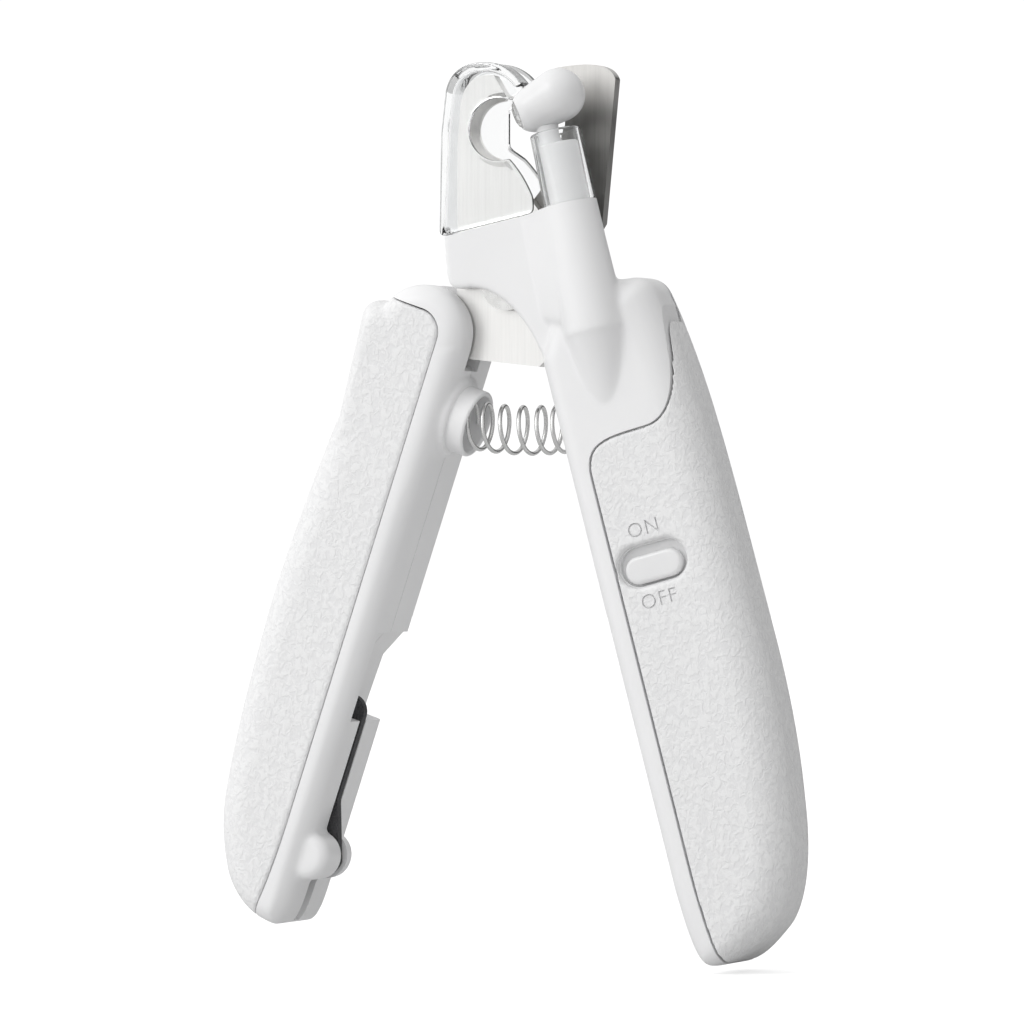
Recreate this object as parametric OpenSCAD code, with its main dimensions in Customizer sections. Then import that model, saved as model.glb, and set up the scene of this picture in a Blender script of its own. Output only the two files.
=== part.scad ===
// Pet nail clippers with a lamp: two plier handles on one pivot, a fixed notched blade under a
// clear nail catcher, a swinging blade, a return spring, and a nail file folded into one handle.
// Held upright: +Z is towards the blades, -Y is the front, and the origin is on the pivot's axis
// in the flat back face.

/* [Handles] */
// Thickness of both handles, front to back
body_t = 18; // [16:0.5:22]
// Distance from the pivot to the tip of the lamp handle
lamp_reach = 123; // [105:1:148]
// Distance from the pivot to the end of the file handle
file_reach = 118.5; // [102:0.5:143]
// Width of the lamp handle at its widest
lamp_w = 23.8; // [20:0.2:28.6]
// Width of the file handle at its widest
file_w = 20; // [17.6:0.2:24]
// Lean of the lamp handle away from the vertical, at rest
lamp_lean = 15; // [14:0.5:17]
// Lean of the file handle away from the vertical, at rest
file_lean = 18.6; // [17:0.2:20]
// Distance of the lamp handle's inner edge from the line through the pivot
lamp_gap = 4.2; // [3.6:0.1:5]
// Distance of the file handle's inner edge from the line through the pivot
file_edge = 3.2; // [2.8:0.1:4]
// Wall of the plastic shells
wall = 1.8; // [1.5:0.1:2.2]
// Depth of the soft grips in the shells
grip_t = 1.2; // [1:0.1:1.5]
// Bare rim between the inner edge and the grip
rim_w = 4; // [3.4:0.2:4.8]
// Rounding of the handles' long edges
edge_r = 3.2; // [2.4:0.2:3.8]
// Depth of the lamp handle's parting line behind the middle
lamp_part_back = 3.8; // [3.2:0.1:4.6]
// Depth of the file handle's parting line behind the middle
file_part_back = 0.4; // [0.2:0.1:0.6]

/* [Head] */
// Distance from the middle plane to the head's front face
head_front = 6.5; // [6:0.1:7.8]
// Lean of the lamp tube and of the head's top seam
tube_lean = 12.2; // [11:0.2:14]
// Height of the seam between the head and the catcher, along the tube
seam_h = 10.3; // [9.5:0.1:12]
// Radius of the lamp tube at the seam
tube_r = 4.5; // [3.8:0.1:5.4]
// How much wider the tube is where it enters the handle
tube_flare = 0.9; // [0.5:0.1:1.2]
// Distance of the tube's axis from the line through the pivot
tube_x = 15.9; // [15:0.1:17]
// Distance of the tube's axis in front of the middle plane
tube_front = 8; // [7.6:0.1:8.6]

/* [Blades] */
// Thickness of each blade
blade_t = 2.3; // [1.9:0.1:2.8]
// Running gap between the blades
blade_gap = 0.1; // [0.06:0.02:0.2]
// Radius of the pivot bolt
pivot_r = 2.5; // [2:0.1:3]
// Running clearance of the swinging blade on the bolt
run_gap = 0.05; // [0.02:0.01:0.09]
// Radius of the nail notch
notch_r = 5; // [4.2:0.1:5.4]

/* [Nail catcher] */
// Wall of the clear cover
cover_wall = 1.2; // [1:0.1:1.5]
// Distance from the middle plane to the cover's faces
cover_half = 5; // [4.7:0.1:6]

/* [Lamp] */
// Length of the clear collar
collar_h = 12.7; // [10.5:0.1:15]
// Wall of the collar
collar_wall = 0.9; // [0.75:0.05:1.1]
// Radius of the lamp head's round end
ball_r = 4.6; // [4:0.1:5.2]
// Radius of its lens end
lens_r = 4; // [3.4:0.1:4.4]

/* [Spring] */
// Diameter of the spring's wire
wire_d = 0.75; // [0.6:0.05:0.9]
// Outside diameter of the spring
spring_d = 8.8; // [7.4:0.1:9.4]
// Turns of the spring
turns = 6; // [5:1:7]
// Wall of the cup that holds the spring's end
cup_wall = 0.9; // [0.7:0.1:1.1]
// How far the cup stands out of the file handle
cup_out = 4.3; // [3.5:0.1:5.2]

/* [Switch] */
// Length of the switch's button
button_l = 10.5; // [8.8:0.1:12.6]
// Width of the button
button_w = 4.8; // [4:0.1:5.6]
// Travel of the button from OFF to ON
switch_travel = 1.2; // [1:0.1:1.4]
// Clearance round the button
button_gap = 0.3; // [0.25:0.05:0.45]

/* [Batteries] */
// Diameter of a button cell
cell_d = 7.9; // [6.8:0.1:9.4]
// Height of a button cell
cell_h = 3.6; // [3:0.1:4.3]
// Number of cells
cells = 3; // [2:1:3]

/* [Nail file] */
// Length of the file from its pin to its tip
file_l = 28.4; // [24:0.2:34]
// Thickness of the file
file_t = 1.6; // [1.3:0.1:2]
// Width of the file
nail_file_w = 6; // [5:0.2:7.2]
// Clearance on each face of the file
file_gap = 0.6; // [0.4:0.1:0.8]
// Radius of the knuckle that holds the file's pin
knuckle_r = 4.1; // [3.5:0.1:4.9]
// Radius of the file's pin
file_pin_r = 1.1; // [0.9:0.1:1.3]

/* [Screws] */
// Radius of a case screw's thread
screw_r = 1.1; // [0.9:0.1:1.3]
// Radius of its head
screw_head_r = 2; // [1.8:0.1:2.4]

/* [Hidden] */
$fn = 64;
hull_fn = 32;
eps = 0.01;

// Clearances and small sizes
fit_gap = 0.1;
body_gap = 0.45;
rib = 1.2;
screw_l = body_t - 2 * wall - 2.4;
washer_t = 0.35;

// Planes across the thickness
front_y = -body_t;
mid_y = -body_t / 2;
lamp_part_y = mid_y + lamp_part_back;
file_part_y = mid_y + file_part_back;
slot_half = blade_t + blade_gap / 2 + washer_t;
head_y = mid_y - head_front;
tube_y = mid_y - tube_front;
cavity_front_y = front_y + grip_t + wall;
cavity_back_y = -grip_t - wall;

// Turns a flat shape, drawn as seen from the front, into a slab between two depths
module slab(y_from, y_to) {
    translate([0, y_to, 0])
        rotate([90, 0, 0])
            linear_extrude(y_to - y_from)
                children();
}

module in_lamp_handle() {
    rotate([0, -lamp_lean, 0]) children();
}

module in_file_handle() {
    rotate([0, file_lean, 0]) children();
}

// Inside the lamp handle's frame, the frame that the tube and the seam stand square in
module in_tube() {
    rotate([0, lamp_lean - tube_lean, 0]) children();
}

// A round bar along Y, at a place seen from the front
module bar(x, z, y_from, y_to, r) {
    translate([x, y_to, z])
        rotate([90, 0, 0])
            cylinder(r = r, h = y_to - y_from);
}

function unit(v) = v / norm(v);

function inward(p, i) =
    let (n = len(p), a = unit(p[(i + 1) % n] - p[(i + n - 1) % n]))
    [-a[1], a[0]];

// An outline moved inwards everywhere by d
function inset(p, d) = [for (i = [0 : len(p) - 1]) p[i] + d * inward(p, i)];

// One cubic stretch of an outline, without its last point
function curve(a, b, c, d, n = 8) = [
    for (i = [0 : n - 1])
        let (t = i / n, s = 1 - t)
        s * s * s * a + 3 * s * s * t * b + 3 * s * t * t * c + t * t * t * d
];

// Outlines, each drawn with its handle hanging straight down from the pivot
function end_curves(x0, w, reach, side) = concat(
    curve([side * x0, -reach + 9], [side * x0, -reach + 4], [side * (x0 + 0.6), -reach],
        [side * (x0 + 4.4), -reach]),
    curve([side * (x0 + 4.4), -reach], [side * (x0 + w * 0.5), -reach + 0.4],
        [side * (x0 + w * 0.8), -reach + 5], [side * (x0 + w * 0.88), -reach + 18])
);

lamp_x = lamp_gap + lamp_w;
lamp_outline = concat(
    [[lamp_gap, -15]],
    end_curves(lamp_gap, lamp_w, lamp_reach, 1),
    curve([lamp_gap + lamp_w * 0.88, -lamp_reach + 18], [lamp_x - 1, -lamp_reach + 32],
        [lamp_x, -80], [lamp_x, -62]),
    curve([lamp_x, -62], [lamp_x, -46], [lamp_x - 0.4, -26], [lamp_x - 3, -10], 6),
    curve([lamp_x - 3, -10], [lamp_x - 3.3, -7], [lamp_x - 4.2, -5.9], [lamp_x - 6, -5.4], 5),
    [[tube_x, -4.2], [10, -4.6]]
);

file_x = file_edge + file_w;
top_r = 8.3;
top_x = file_edge + top_r;
top_z = -12.5;
file_down = concat(
    end_curves(file_edge, file_w, file_reach, -1),
    curve([-file_edge - file_w * 0.88, -file_reach + 18], [-file_x + 0.4, -file_reach + 32],
        [-file_x, -80], [-file_x, -66]),
    curve([-file_x, -66], [-file_x, -48], [-file_x + 1.6, -36], [-file_x + 2.1, -26]),
    [for (a = [0 : 15 : 60]) [-file_x + 4.2 - 3.4 * cos(a), -13.6 + 3.4 * sin(a)]],
    [for (a = [110 : -10 : 10]) [-top_x + top_r * cos(a), top_z + top_r * sin(a)]],
    [[-file_edge, top_z]]
);
// The list above runs clockwise, so it is turned round
file_outline = [for (i = [len(file_down) - 1 : -1 : 0]) file_down[i]];

// The head, drawn with the lamp handle hanging straight down
head_left = -8.4;

// A point in the tube's frame, as the lamp handle's frame has it
tube_turn = lamp_lean - tube_lean;
function from_tube(x, z) = [x * cos(tube_turn) + z * sin(tube_turn), z * cos(tube_turn) - x * sin(tube_turn)];

head_top = seam_h - 0.05;
head_outline = concat(
    [from_tube(head_left - 0.4, head_top)],
    curve([head_left - 1, 4.4], [head_left - 1.2, 2.2], [head_left - 0.6, 1.4], [-7, 1.2], 4),
    curve([-7, 1.2], [-1, 0.6], [lamp_gap - 0.6, -7], [lamp_gap, -16], 10),
    [[lamp_gap, -22], [tube_x, -22]]
);
head_front_outline = concat(head_outline, [[tube_x + 3, -20], from_tube(tube_x + 3, head_top)]);
head_back_outline = concat(head_outline, [[tube_x - 2.6, -14], from_tube(tube_x - 2.8, head_top)]);

// The soft grip's outline on each handle; it runs off the outer edge
over = 4;
lamp_grip_outline = concat(
    curve([lamp_gap + rim_w, -37], [lamp_gap + rim_w, -60], [lamp_gap + rim_w, -80],
        [lamp_gap + rim_w, -lamp_reach + 20], 2),
    curve([lamp_gap + rim_w, -lamp_reach + 20], [lamp_gap + rim_w, -lamp_reach + 10],
        [lamp_gap + rim_w + 0.6, -lamp_reach + 3], [lamp_gap + rim_w + 2.4, -lamp_reach - over], 5),
    [[lamp_x + over, -lamp_reach - over], [lamp_x + over, -8.6]],
    curve([lamp_x - 3.6, -8.6], [lamp_x - 1.4, -18], [lamp_x - 0.6, -31], [lamp_x - 8, -30.8]),
    curve([lamp_x - 8, -30.8], [lamp_gap + 8, -30.6], [lamp_gap + rim_w, -30.8],
        [lamp_gap + rim_w, -37], 6)
);

file_grip_outline = concat(
    [[-file_x - over, -file_reach - over]],
    [[-file_edge - rim_w - 2.4, -file_reach - over]],
    curve([-file_edge - rim_w - 1.6, -file_reach + 2], [-file_edge - rim_w, -file_reach + 4],
        [-file_edge - rim_w, -file_reach + 10], [-file_edge - rim_w, -file_reach + 20], 4),
    [for (a = [0 : 15 : 90]) [-top_x + (top_r - rim_w) * cos(a), top_z + (top_r - rim_w) * sin(a)]],
    [[-file_x - over, top_z + top_r - rim_w]]
);

// A handle's whole outer form, with its long edges rounded front and back
module handle_form(outline) {
    hull() {
        slab(front_y, front_y + eps) polygon(inset(outline, edge_r));
        slab(front_y + edge_r * 0.3, -edge_r * 0.3) polygon(inset(outline, edge_r * 0.3));
        slab(front_y + edge_r, -edge_r) polygon(outline);
        slab(-eps, 0) polygon(inset(outline, edge_r));
    }
}

// The space that a grip fills: a skin over the faces and the outer side of a handle
module grip_space(outline, grip_outline) {
    difference() {
        slab(front_y - 1, 1) polygon(grip_outline);
        slab(front_y + grip_t, -grip_t) polygon(inset(outline, grip_t));
    }
}

module front_half(part_y) {
    intersection() {
        children();
        translate([-100, front_y - 20, -200]) cube([200, part_y - front_y + 20, 300]);
    }
}

module back_half(part_y) {
    intersection() {
        children();
        translate([-100, part_y, -200]) cube([200, 40 - part_y, 300]);
    }
}

// ---- Fasteners shared by both handles ----
lamp_screws = [[lamp_gap + 4.4, -66], [lamp_gap + 4.4, -100], [lamp_x - 6, -30]];
file_screws = [[-file_edge - 11, -50], [-file_edge - 12, -88], [-file_x + 6, -30]];
screw_back_y = -grip_t - 0.4;

module case_screw(p) {
    bar(p[0], p[1], screw_back_y - 1.3, screw_back_y, screw_head_r);
    bar(p[0], p[1], screw_back_y - screw_l, screw_back_y - 1.3 + eps, screw_r);
}

module screw_boss(p, y_from, y_to) {
    bar(p[0], p[1], y_from, y_to, screw_r + 1.1);
}

module screw_hole(p) {
    bar(p[0], p[1], screw_back_y - screw_l - fit_gap, 1, screw_r);
    bar(p[0], p[1], screw_back_y - 1.3, 1, screw_head_r + fit_gap);
}

// ---- Blades and pivot ----
fixed_y = mid_y - blade_gap / 2 - blade_t;
moving_y = mid_y + blade_gap / 2;
notch_x = -1.3;
notch_z = 26.6;
cover_left = -11.7;
cover_top = 38.2;

// The tangs run down inside the handles, each on a peg
tang_peg_x = 9.6;
tang_peg_z = -36;
// Depth of the spring cup's root in the file handle
cup_root = 3;

module tang(gap, foot) {
    translate([gap, 0])
        polygon([[cup_root + 0.4, -7], [cup_root + 0.4, -34], [8.8, foot], [11.2, foot], [12.2, -7]]);
}

module fixed_blade() {
    color("silver")
    difference() {
        slab(fixed_y, fixed_y + blade_t) {
            polygon(concat(
                [[cover_left + cover_wall + 0.9, 7], [-10, 2], [-9.6, -5], [-9, -12.6], [5.4, -14.2]],
                curve([12, -8], [11, 2], [8, 10], [3.4, 15], 6),
                curve([3.4, 15], [2, 19], [-1, 20.6], [-3, 22], 5),
                [[-3, 22], [-2.6, notch_z + 4], [-0.6, 32.4]],
                curve([-2.8, cover_top - 2.2], [-5.6, cover_top - 1.8], [-8.2, cover_top - 2.6],
                    [cover_left + cover_wall + 1.5, 31], 5),
                [[cover_left + cover_wall + 1.5, 31], [cover_left + cover_wall + 0.9, 24]]));
            rotate(lamp_lean) tang(lamp_gap, -44);
        }
        bar(notch_x, notch_z, fixed_y - 1, fixed_y + blade_t + 1, notch_r);
        bar(0, 0, fixed_y - 1, fixed_y + blade_t + 1, pivot_r);
        in_lamp_handle()
            bar(lamp_gap + tang_peg_x, tang_peg_z, fixed_y - 1, fixed_y + blade_t + 1, rib);
    }
}

module moving_blade() {
    color("silver")
    difference() {
        slab(moving_y, moving_y + blade_t) {
            polygon(concat(
                [[16.1, 10.3]],
                curve([18.5, 35], [17.6, 37.6], [14.6, 38.2], [7.4, 37.2], 6),
                curve([7.4, 37.2], [8.6, 34], [9.8, 30], [9, 26]),
                curve([9, 26], [8, 20], [4, 13], [-4.6, 8.4]),
                [for (a = [120 : 20 : 180]) [9.4 * cos(a), 9.4 * sin(a)]],
                [[-9.6, -6], [-4, -9.6], [4, -9], [9.4, -2], [10.6, 2]]));
            rotate(-file_lean) mirror([1, 0]) tang(file_edge, -44);
        }
        bar(0, 0, moving_y - 1, moving_y + blade_t + 1, pivot_r + run_gap);
        in_file_handle()
            bar(-file_edge - tang_peg_x, tang_peg_z, moving_y - 1, moving_y + blade_t + 1, rib);
    }
}

bolt_head_r = pivot_r + 2;
bolt_head_t = 1.6;

module pivot_bolt() {
    color("gainsboro") {
        bar(0, 0, mid_y - slot_half - bolt_head_t, mid_y - slot_half, bolt_head_r);
        bar(0, 0, mid_y - slot_half - eps, mid_y + slot_half + bolt_head_t + 0.6, pivot_r);
    }
}

module pivot_nut() {
    color("silver")
    difference() {
        translate([0, mid_y + slot_half + bolt_head_t, 0])
            rotate([90, 0, 0])
                cylinder(r = bolt_head_r, h = bolt_head_t, $fn = 6);
        bar(0, 0, mid_y, 0, pivot_r);
    }
}

module pivot_washers() {
    color("silver")
    for (y = [mid_y - slot_half, mid_y + slot_half - washer_t])
        difference() {
            bar(0, 0, y, y + washer_t, pivot_r + 1.6);
            bar(0, 0, y - 1, y + washer_t + 1, pivot_r);
        }
}

// ---- Switch, circuit board and batteries ----
switch_x = lamp_gap + 11.2;
switch_z = -54;
recess_l = button_l + 2 * button_gap + 1.2;
recess_w = button_w + switch_travel + 2 * button_gap + 0.2;
button_z = switch_z - switch_travel / 2;
board_t = 1.2;
// The board lies in front of the fixed blade's tang
board_gap = 0.25;
board_y = fixed_y - board_gap - board_t;
switch_depth = 4.2;

module stadium(l, w) {
    for (side = [-1, 1])
        translate([side * (l - w) / 2, 0]) circle(d = w);
    square([l - w, w], center = true);
}

module switch_opening() {
    slab(front_y - 1, board_y) translate([switch_x, switch_z]) stadium(recess_l, recess_w);
}

module switch_button() {
    color("whitesmoke")
    in_lamp_handle() {
        slab(front_y + 0.3, cavity_front_y - wall + 0.2)
            translate([switch_x, button_z]) stadium(button_l, button_w);
        slab(cavity_front_y - wall + 0.2 - eps, board_y - 0.3)
            translate([switch_x - button_l / 4, button_z - 1]) square([button_l / 2, 2]);
    }
}

module circuit_board() {
    color("seagreen")
    in_lamp_handle()
        slab(board_y, board_y + board_t)
            translate([switch_x - 7, switch_z - 9.3]) square([14, 21.3]);
}

module switch_body() {
    color("dimgray")
    in_lamp_handle()
        slab(board_y + board_t, board_y + board_t + switch_depth - 0.6)
            translate([switch_x - 4.5, switch_z - 3]) square([9, 6]);
}

cell_x = lamp_gap + lamp_w * 0.5;
cell_top = -76;
stack_h = cells * cell_h;
stack_gap = 3;
cell_y = (cavity_front_y + cavity_back_y) / 2;

module along_handle(x, z_top, y, h, r) {
    translate([x, y, z_top - h]) cylinder(r = r, h = h);
}

module button_cells() {
    color("silver")
    in_lamp_handle()
        for (i = [0 : cells - 1])
            along_handle(cell_x, cell_top - i * cell_h, cell_y, cell_h - 0.05, cell_d / 2);
}

tray_w = cell_d + 2 * rib + 0.6;
tray_top = cell_top + stack_gap + rib;
tray_bottom = cell_top - stack_h - stack_gap - rib;

module battery_tray() {
    color("gainsboro")
    in_lamp_handle()
        difference() {
            translate([cell_x - tray_w / 2, cell_y - cell_d / 2 - 0.3, tray_bottom])
                cube([tray_w, cell_d / 2 + 1.2, tray_top - tray_bottom]);
            translate([cell_x, cell_y, tray_bottom + rib])
                cylinder(r = cell_d / 2 + 0.1, h = tray_top - tray_bottom - 2 * rib);
            translate([cell_x - cell_d / 2 - 0.1, cell_y, tray_bottom + rib])
                cube([cell_d + 0.2, cell_d, tray_top - tray_bottom - 2 * rib]);
        }
}

// A flat plate at the lower end and a coned coil of three rings at the upper end
module battery_contacts() {
    color("gold")
    in_lamp_handle() {
        along_handle(cell_x, cell_top - stack_h, cell_y, 0.4, cell_d / 2 - 0.6);
        along_handle(cell_x, cell_top - stack_h - 0.4 + eps, cell_y, stack_gap - 0.4, 1);
        for (i = [0 : 2])
            translate([cell_x, cell_y, cell_top + 0.45 + i * 0.8])
                rotate_extrude()
                    translate([cell_d / 2 - 1.8 + i * 0.4, 0]) circle(r = 0.41, $fn = 16);
        along_handle(cell_x, cell_top + stack_gap, cell_y, 0.75, cell_d / 2 - 0.6);
    }
}

door_w = tray_w + 2;
door_top = tray_top + 1;
door_bottom = tray_bottom - 6.5;
door_screw = [cell_x, door_bottom + 3.2];

module door_outline(extra) {
    translate([cell_x - door_w / 2 - extra, door_bottom - extra])
        square([door_w + 2 * extra, door_top - door_bottom + 2 * extra]);
}

module battery_door() {
    color("whitesmoke")
    in_lamp_handle()
        difference() {
            slab(-grip_t - wall, 0) door_outline(0);
            bar(door_screw[0], door_screw[1], -1.6, 1, screw_head_r + fit_gap);
            bar(door_screw[0], door_screw[1], -grip_t - wall - 1, 1, screw_r + fit_gap);
        }
}

module battery_door_screw() {
    color("silver")
    in_lamp_handle() {
        bar(door_screw[0], door_screw[1], -1.6, -0.3, screw_head_r);
        bar(door_screw[0], door_screw[1], lamp_part_y + 0.5, -1.6 + eps, screw_r);
    }
}

// ---- Lamp handle: shells and grips ----
spring_z = -25;
seat_depth = 1.6;
spring_r = spring_d / 2;
seat_z = (spring_z - lamp_gap * sin(lamp_lean)) / cos(lamp_lean);
cup_r = spring_r + cup_wall + 0.6;
cup_z = (spring_z + file_edge * sin(file_lean)) / cos(file_lean) + 0.3;
cup_depth = 3.6;

module lamp_cavity() {
    difference() {
        slab(cavity_front_y, cavity_back_y)
            polygon(inset(lamp_outline, wall + grip_t * 0.6));
        translate([-50, cavity_front_y - 1, -26]) cube([100, body_t, 100]);
    }
}

// Room for the swinging blade and for the other handle's end
module blade_slot() {
    slab(mid_y - slot_half, mid_y + slot_half) circle(r = 19);
}

module lamp_inside() {
    lamp_cavity();
    // Room for the fixed blade's tang
    slab(fixed_y, mid_y + slot_half)
        polygon([[lamp_gap + wall, 0], [lamp_gap + wall, -45], [lamp_gap + 14.6, -45],
            [lamp_gap + 14.6, 0]]);
    // The spring's seat
    translate([lamp_gap - 1, mid_y, seat_z])
        rotate([0, 90, 0])
            cylinder(r = cup_r - cup_wall, h = 1 + seat_depth);
}

module lamp_front_solid() {
    front_half(lamp_part_y) handle_form(lamp_outline);
    slab(head_y, mid_y - slot_half) polygon(head_front_outline);
    // The lamp tube, and the root where it sinks into the handle
    in_tube()
        translate([tube_x, tube_y, -12])
            cylinder(r1 = tube_r + tube_flare, r2 = tube_r, h = 12 + seam_h);
    hull() {
        in_tube() translate([tube_x, tube_y, -11]) sphere(r = tube_r + tube_flare - 0.1, $fn = hull_fn);
        translate([tube_x, tube_y + 5.4, -34]) sphere(r = 3, $fn = hull_fn);
    }
}

module lamp_handle_front_shell() {
    color("white")
    in_lamp_handle()
        difference() {
            union() {
                difference() {
                    lamp_front_solid();
                    grip_space(lamp_outline, lamp_grip_outline);
                    lamp_inside();
                    switch_opening();
                    blade_slot();
                    bar(0, 0, mid_y - slot_half - bolt_head_t, mid_y, bolt_head_r + fit_gap);
                }
                for (p = lamp_screws)
                    screw_boss(p, cavity_front_y - 0.4, lamp_part_y - 1);
                bar(lamp_gap + tang_peg_x, tang_peg_z, cavity_front_y - 0.4, fixed_y + blade_t,
                    rib - fit_gap);
            }
            for (p = lamp_screws)
                screw_hole(p);
            // The bore of the lamp tube, for the collar's sleeve and the wires
            in_tube() {
                translate([tube_x, tube_y, -21]) cylinder(r = 1.6, h = 27 + seam_h);
                translate([tube_x, tube_y, seam_h - 3]) cylinder(r = tube_r - collar_wall, h = 5);
                translate([tube_x, tube_y, -19]) rotate([-90, 0, 0]) cylinder(r = 1.3, h = 7);
            }
        }
}

module lamp_back_solid() {
    back_half(lamp_part_y) handle_form(lamp_outline);
    difference() {
        slab(mid_y + slot_half, 0) polygon(head_back_outline);
        front_half(lamp_part_y) handle_form(lamp_outline);
    }
}

module lamp_handle_back_shell() {
    color("white")
    in_lamp_handle()
        difference() {
            union() {
                difference() {
                    lamp_back_solid();
                    grip_space(lamp_outline, lamp_grip_outline);
                    lamp_inside();
                    blade_slot();
                    bar(0, 0, mid_y, mid_y + slot_half + bolt_head_t + 0.8, bolt_head_r + fit_gap);
                    slab(cavity_back_y - 1, 1) door_outline(fit_gap);
                }
                for (p = lamp_screws)
                    screw_boss(p, lamp_part_y + 0.2, cavity_back_y + 0.4);
                screw_boss(door_screw, lamp_part_y + 0.2, cavity_back_y);
            }
            for (p = lamp_screws)
                screw_hole(p);
            bar(door_screw[0], door_screw[1], lamp_part_y - 1, 1, screw_r);
        }
}

module lamp_grip_solid() {
    difference() {
        intersection() {
            handle_form(lamp_outline);
            grip_space(lamp_outline, lamp_grip_outline);
        }
        switch_opening();
    }
}

module lamp_grip_front() {
    color("ghostwhite")
    in_lamp_handle()
        front_half(lamp_part_y) lamp_grip_solid();
}

module lamp_grip_back() {
    color("ghostwhite")
    in_lamp_handle()
        difference() {
            back_half(lamp_part_y) lamp_grip_solid();
            slab(cavity_back_y - 1, 1) door_outline(fit_gap);
            for (p = lamp_screws)
                screw_hole(p);
        }
}

module lamp_handle_screws() {
    color("silver")
    in_lamp_handle()
        for (p = lamp_screws)
            case_screw(p);
}

// A ring that lines the seat and a peg inside the spring
module spring_seat() {
    color("gainsboro")
    in_lamp_handle()
        translate([lamp_gap + seat_depth, mid_y, seat_z])
            rotate([0, -90, 0]) {
                cylinder(r = cup_r - cup_wall - fit_gap, h = 0.5);
                cylinder(r = spring_r - wire_d - 1, h = seat_depth + 1);
            }
}

// ---- Lamp ----
sleeve_r = tube_r - collar_wall - 0.2;
neck_r = 1.9;
neck_x = tube_x - 1.4;
neck_bottom = seam_h + collar_h - 2.2 + eps;
neck_h = 3.4;
ball_x = tube_x + 1.8;
ball_z = seam_h + collar_h + 5.9;
lens_x = tube_x - 2.9;
lens_z = ball_z - 1.3;
lens_y = tube_y - 0.2;

module lamp_collar() {
    color("lightcyan", 0.5)
    in_lamp_handle() in_tube()
        translate([tube_x, tube_y, seam_h])
            difference() {
                cylinder(r = tube_r, h = collar_h);
                translate([0, 0, -1]) cylinder(r = tube_r - collar_wall, h = collar_h + 2);
            }
}

module lamp_sleeve() {
    color("white")
    in_lamp_handle() in_tube()
        translate([tube_x, tube_y, seam_h - 2.8])
            difference() {
                cylinder(r = sleeve_r, h = collar_h + 0.6);
                translate([0, 0, -1]) cylinder(r = sleeve_r - 0.9, h = collar_h);
                translate([0, 0, 1]) cylinder(r = 1.6, h = collar_h);
            }
}

module lamp_neck() {
    color("white")
    in_lamp_handle() in_tube()
        translate([neck_x, tube_y, neck_bottom])
            difference() {
                cylinder(r = neck_r, h = neck_h);
                translate([0.5, 0, -1]) cylinder(r = 1, h = 6);
            }
}

module lamp_head_form(shrink) {
    hull() {
        translate([ball_x, tube_y, ball_z]) sphere(r = ball_r - shrink, $fn = hull_fn);
        translate([lens_x, lens_y, lens_z]) sphere(r = lens_r - shrink, $fn = hull_fn);
    }
}

// The lens end looks at the nail notch
lens_yaw = 205;

module lens_end(from, r, h) {
    translate([lens_x, lens_y, lens_z])
        rotate([0, 0, lens_yaw])
            rotate([0, 100, 0])
                translate([0, 0, from]) cylinder(r = r, h = h);
}

module lamp_head() {
    color("white")
    in_lamp_handle() in_tube()
        difference() {
            lamp_head_form(0);
            lamp_head_form(0.9);
            lens_end(1, lens_r - 1.4, 6);
            translate([neck_x, tube_y, neck_bottom]) cylinder(r = neck_r, h = neck_h);
        }
}

module lamp_led() {
    color("lightyellow")
    in_lamp_handle() in_tube() lens_end(0.4, 1.5, 1.8);
}

module lamp_lens() {
    color("azure", 0.6)
    in_lamp_handle() in_tube() lens_end(2.4, lens_r - 1.5, 0.8);
}

module lamp_wires() {
    color("firebrick")
    in_lamp_handle() in_tube()
        for (side = [-1, 1])
            translate([tube_x + side * 0.5, tube_y, -18]) cylinder(r = 0.35, h = 18 + seam_h + 8, $fn = 16);
}

// ---- Nail catcher ----
catcher_outline = concat(
    [[cover_left, seam_h / cos(tube_lean) + cover_left * tan(tube_lean) + body_gap]],
    [[5.2, seam_h / cos(tube_lean) + 5.2 * tan(tube_lean) + body_gap]],
    curve([5, 15], [3.8, 17.4], [3, 19.4], [-0.6, 22.8], 5),
    [[-2.6, 23.9]],
    [[-2.6, notch_z + notch_r - 1.2], [0.7, 31.3]],
    curve([3.7, 33.2], [1.6, 37], [-1.6, 38.4], [-4.6, cover_top], 6),
    curve([-4.6, cover_top], [-7.6, cover_top], [-10.2, 36.4], [-10.7, 32.6], 6),
    [[-10.7, 32.6], [cover_left + 0.3, 26]]
);

module catcher_walls() {
    difference() {
        slab(mid_y - cover_half, mid_y + cover_half) polygon(catcher_outline);
        slab(mid_y - cover_half + cover_wall, mid_y + cover_half - cover_wall)
            union() {
                polygon(inset(catcher_outline, cover_wall));
                // Open at the seam and on the side where the blade enters
                translate([cover_left + cover_wall, 0]) square([18, 22]);
                translate([notch_x - notch_r, 10]) square([14, 24]);
            }
        // The swinging blade's tip passes through the top wall
        slab(moving_y - body_gap, moving_y + blade_t + body_gap)
            translate([cover_left + 1.8, 20]) square([20, cover_top - 16]);
        // The nail goes in from the front only
        bar(notch_x, notch_z, mid_y - cover_half - 1, mid_y + cover_half - cover_wall, notch_r + 0.4);
    }
}

module nail_catcher() {
    color("lightcyan", 0.4) catcher_walls();
}

// ---- File handle ----
pin_x = -file_edge + 0.2;
pin_z = -file_reach + 13.3;
file_y = mid_y + 0.4;
file_front_y = file_y - file_t / 2;
slot_front_y = file_front_y - file_gap;
slot_back_y = file_front_y + file_t + file_gap;
scoop_top = pin_z + file_l + 12.1;
scoop_bottom = pin_z + file_l - 3.8;

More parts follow.
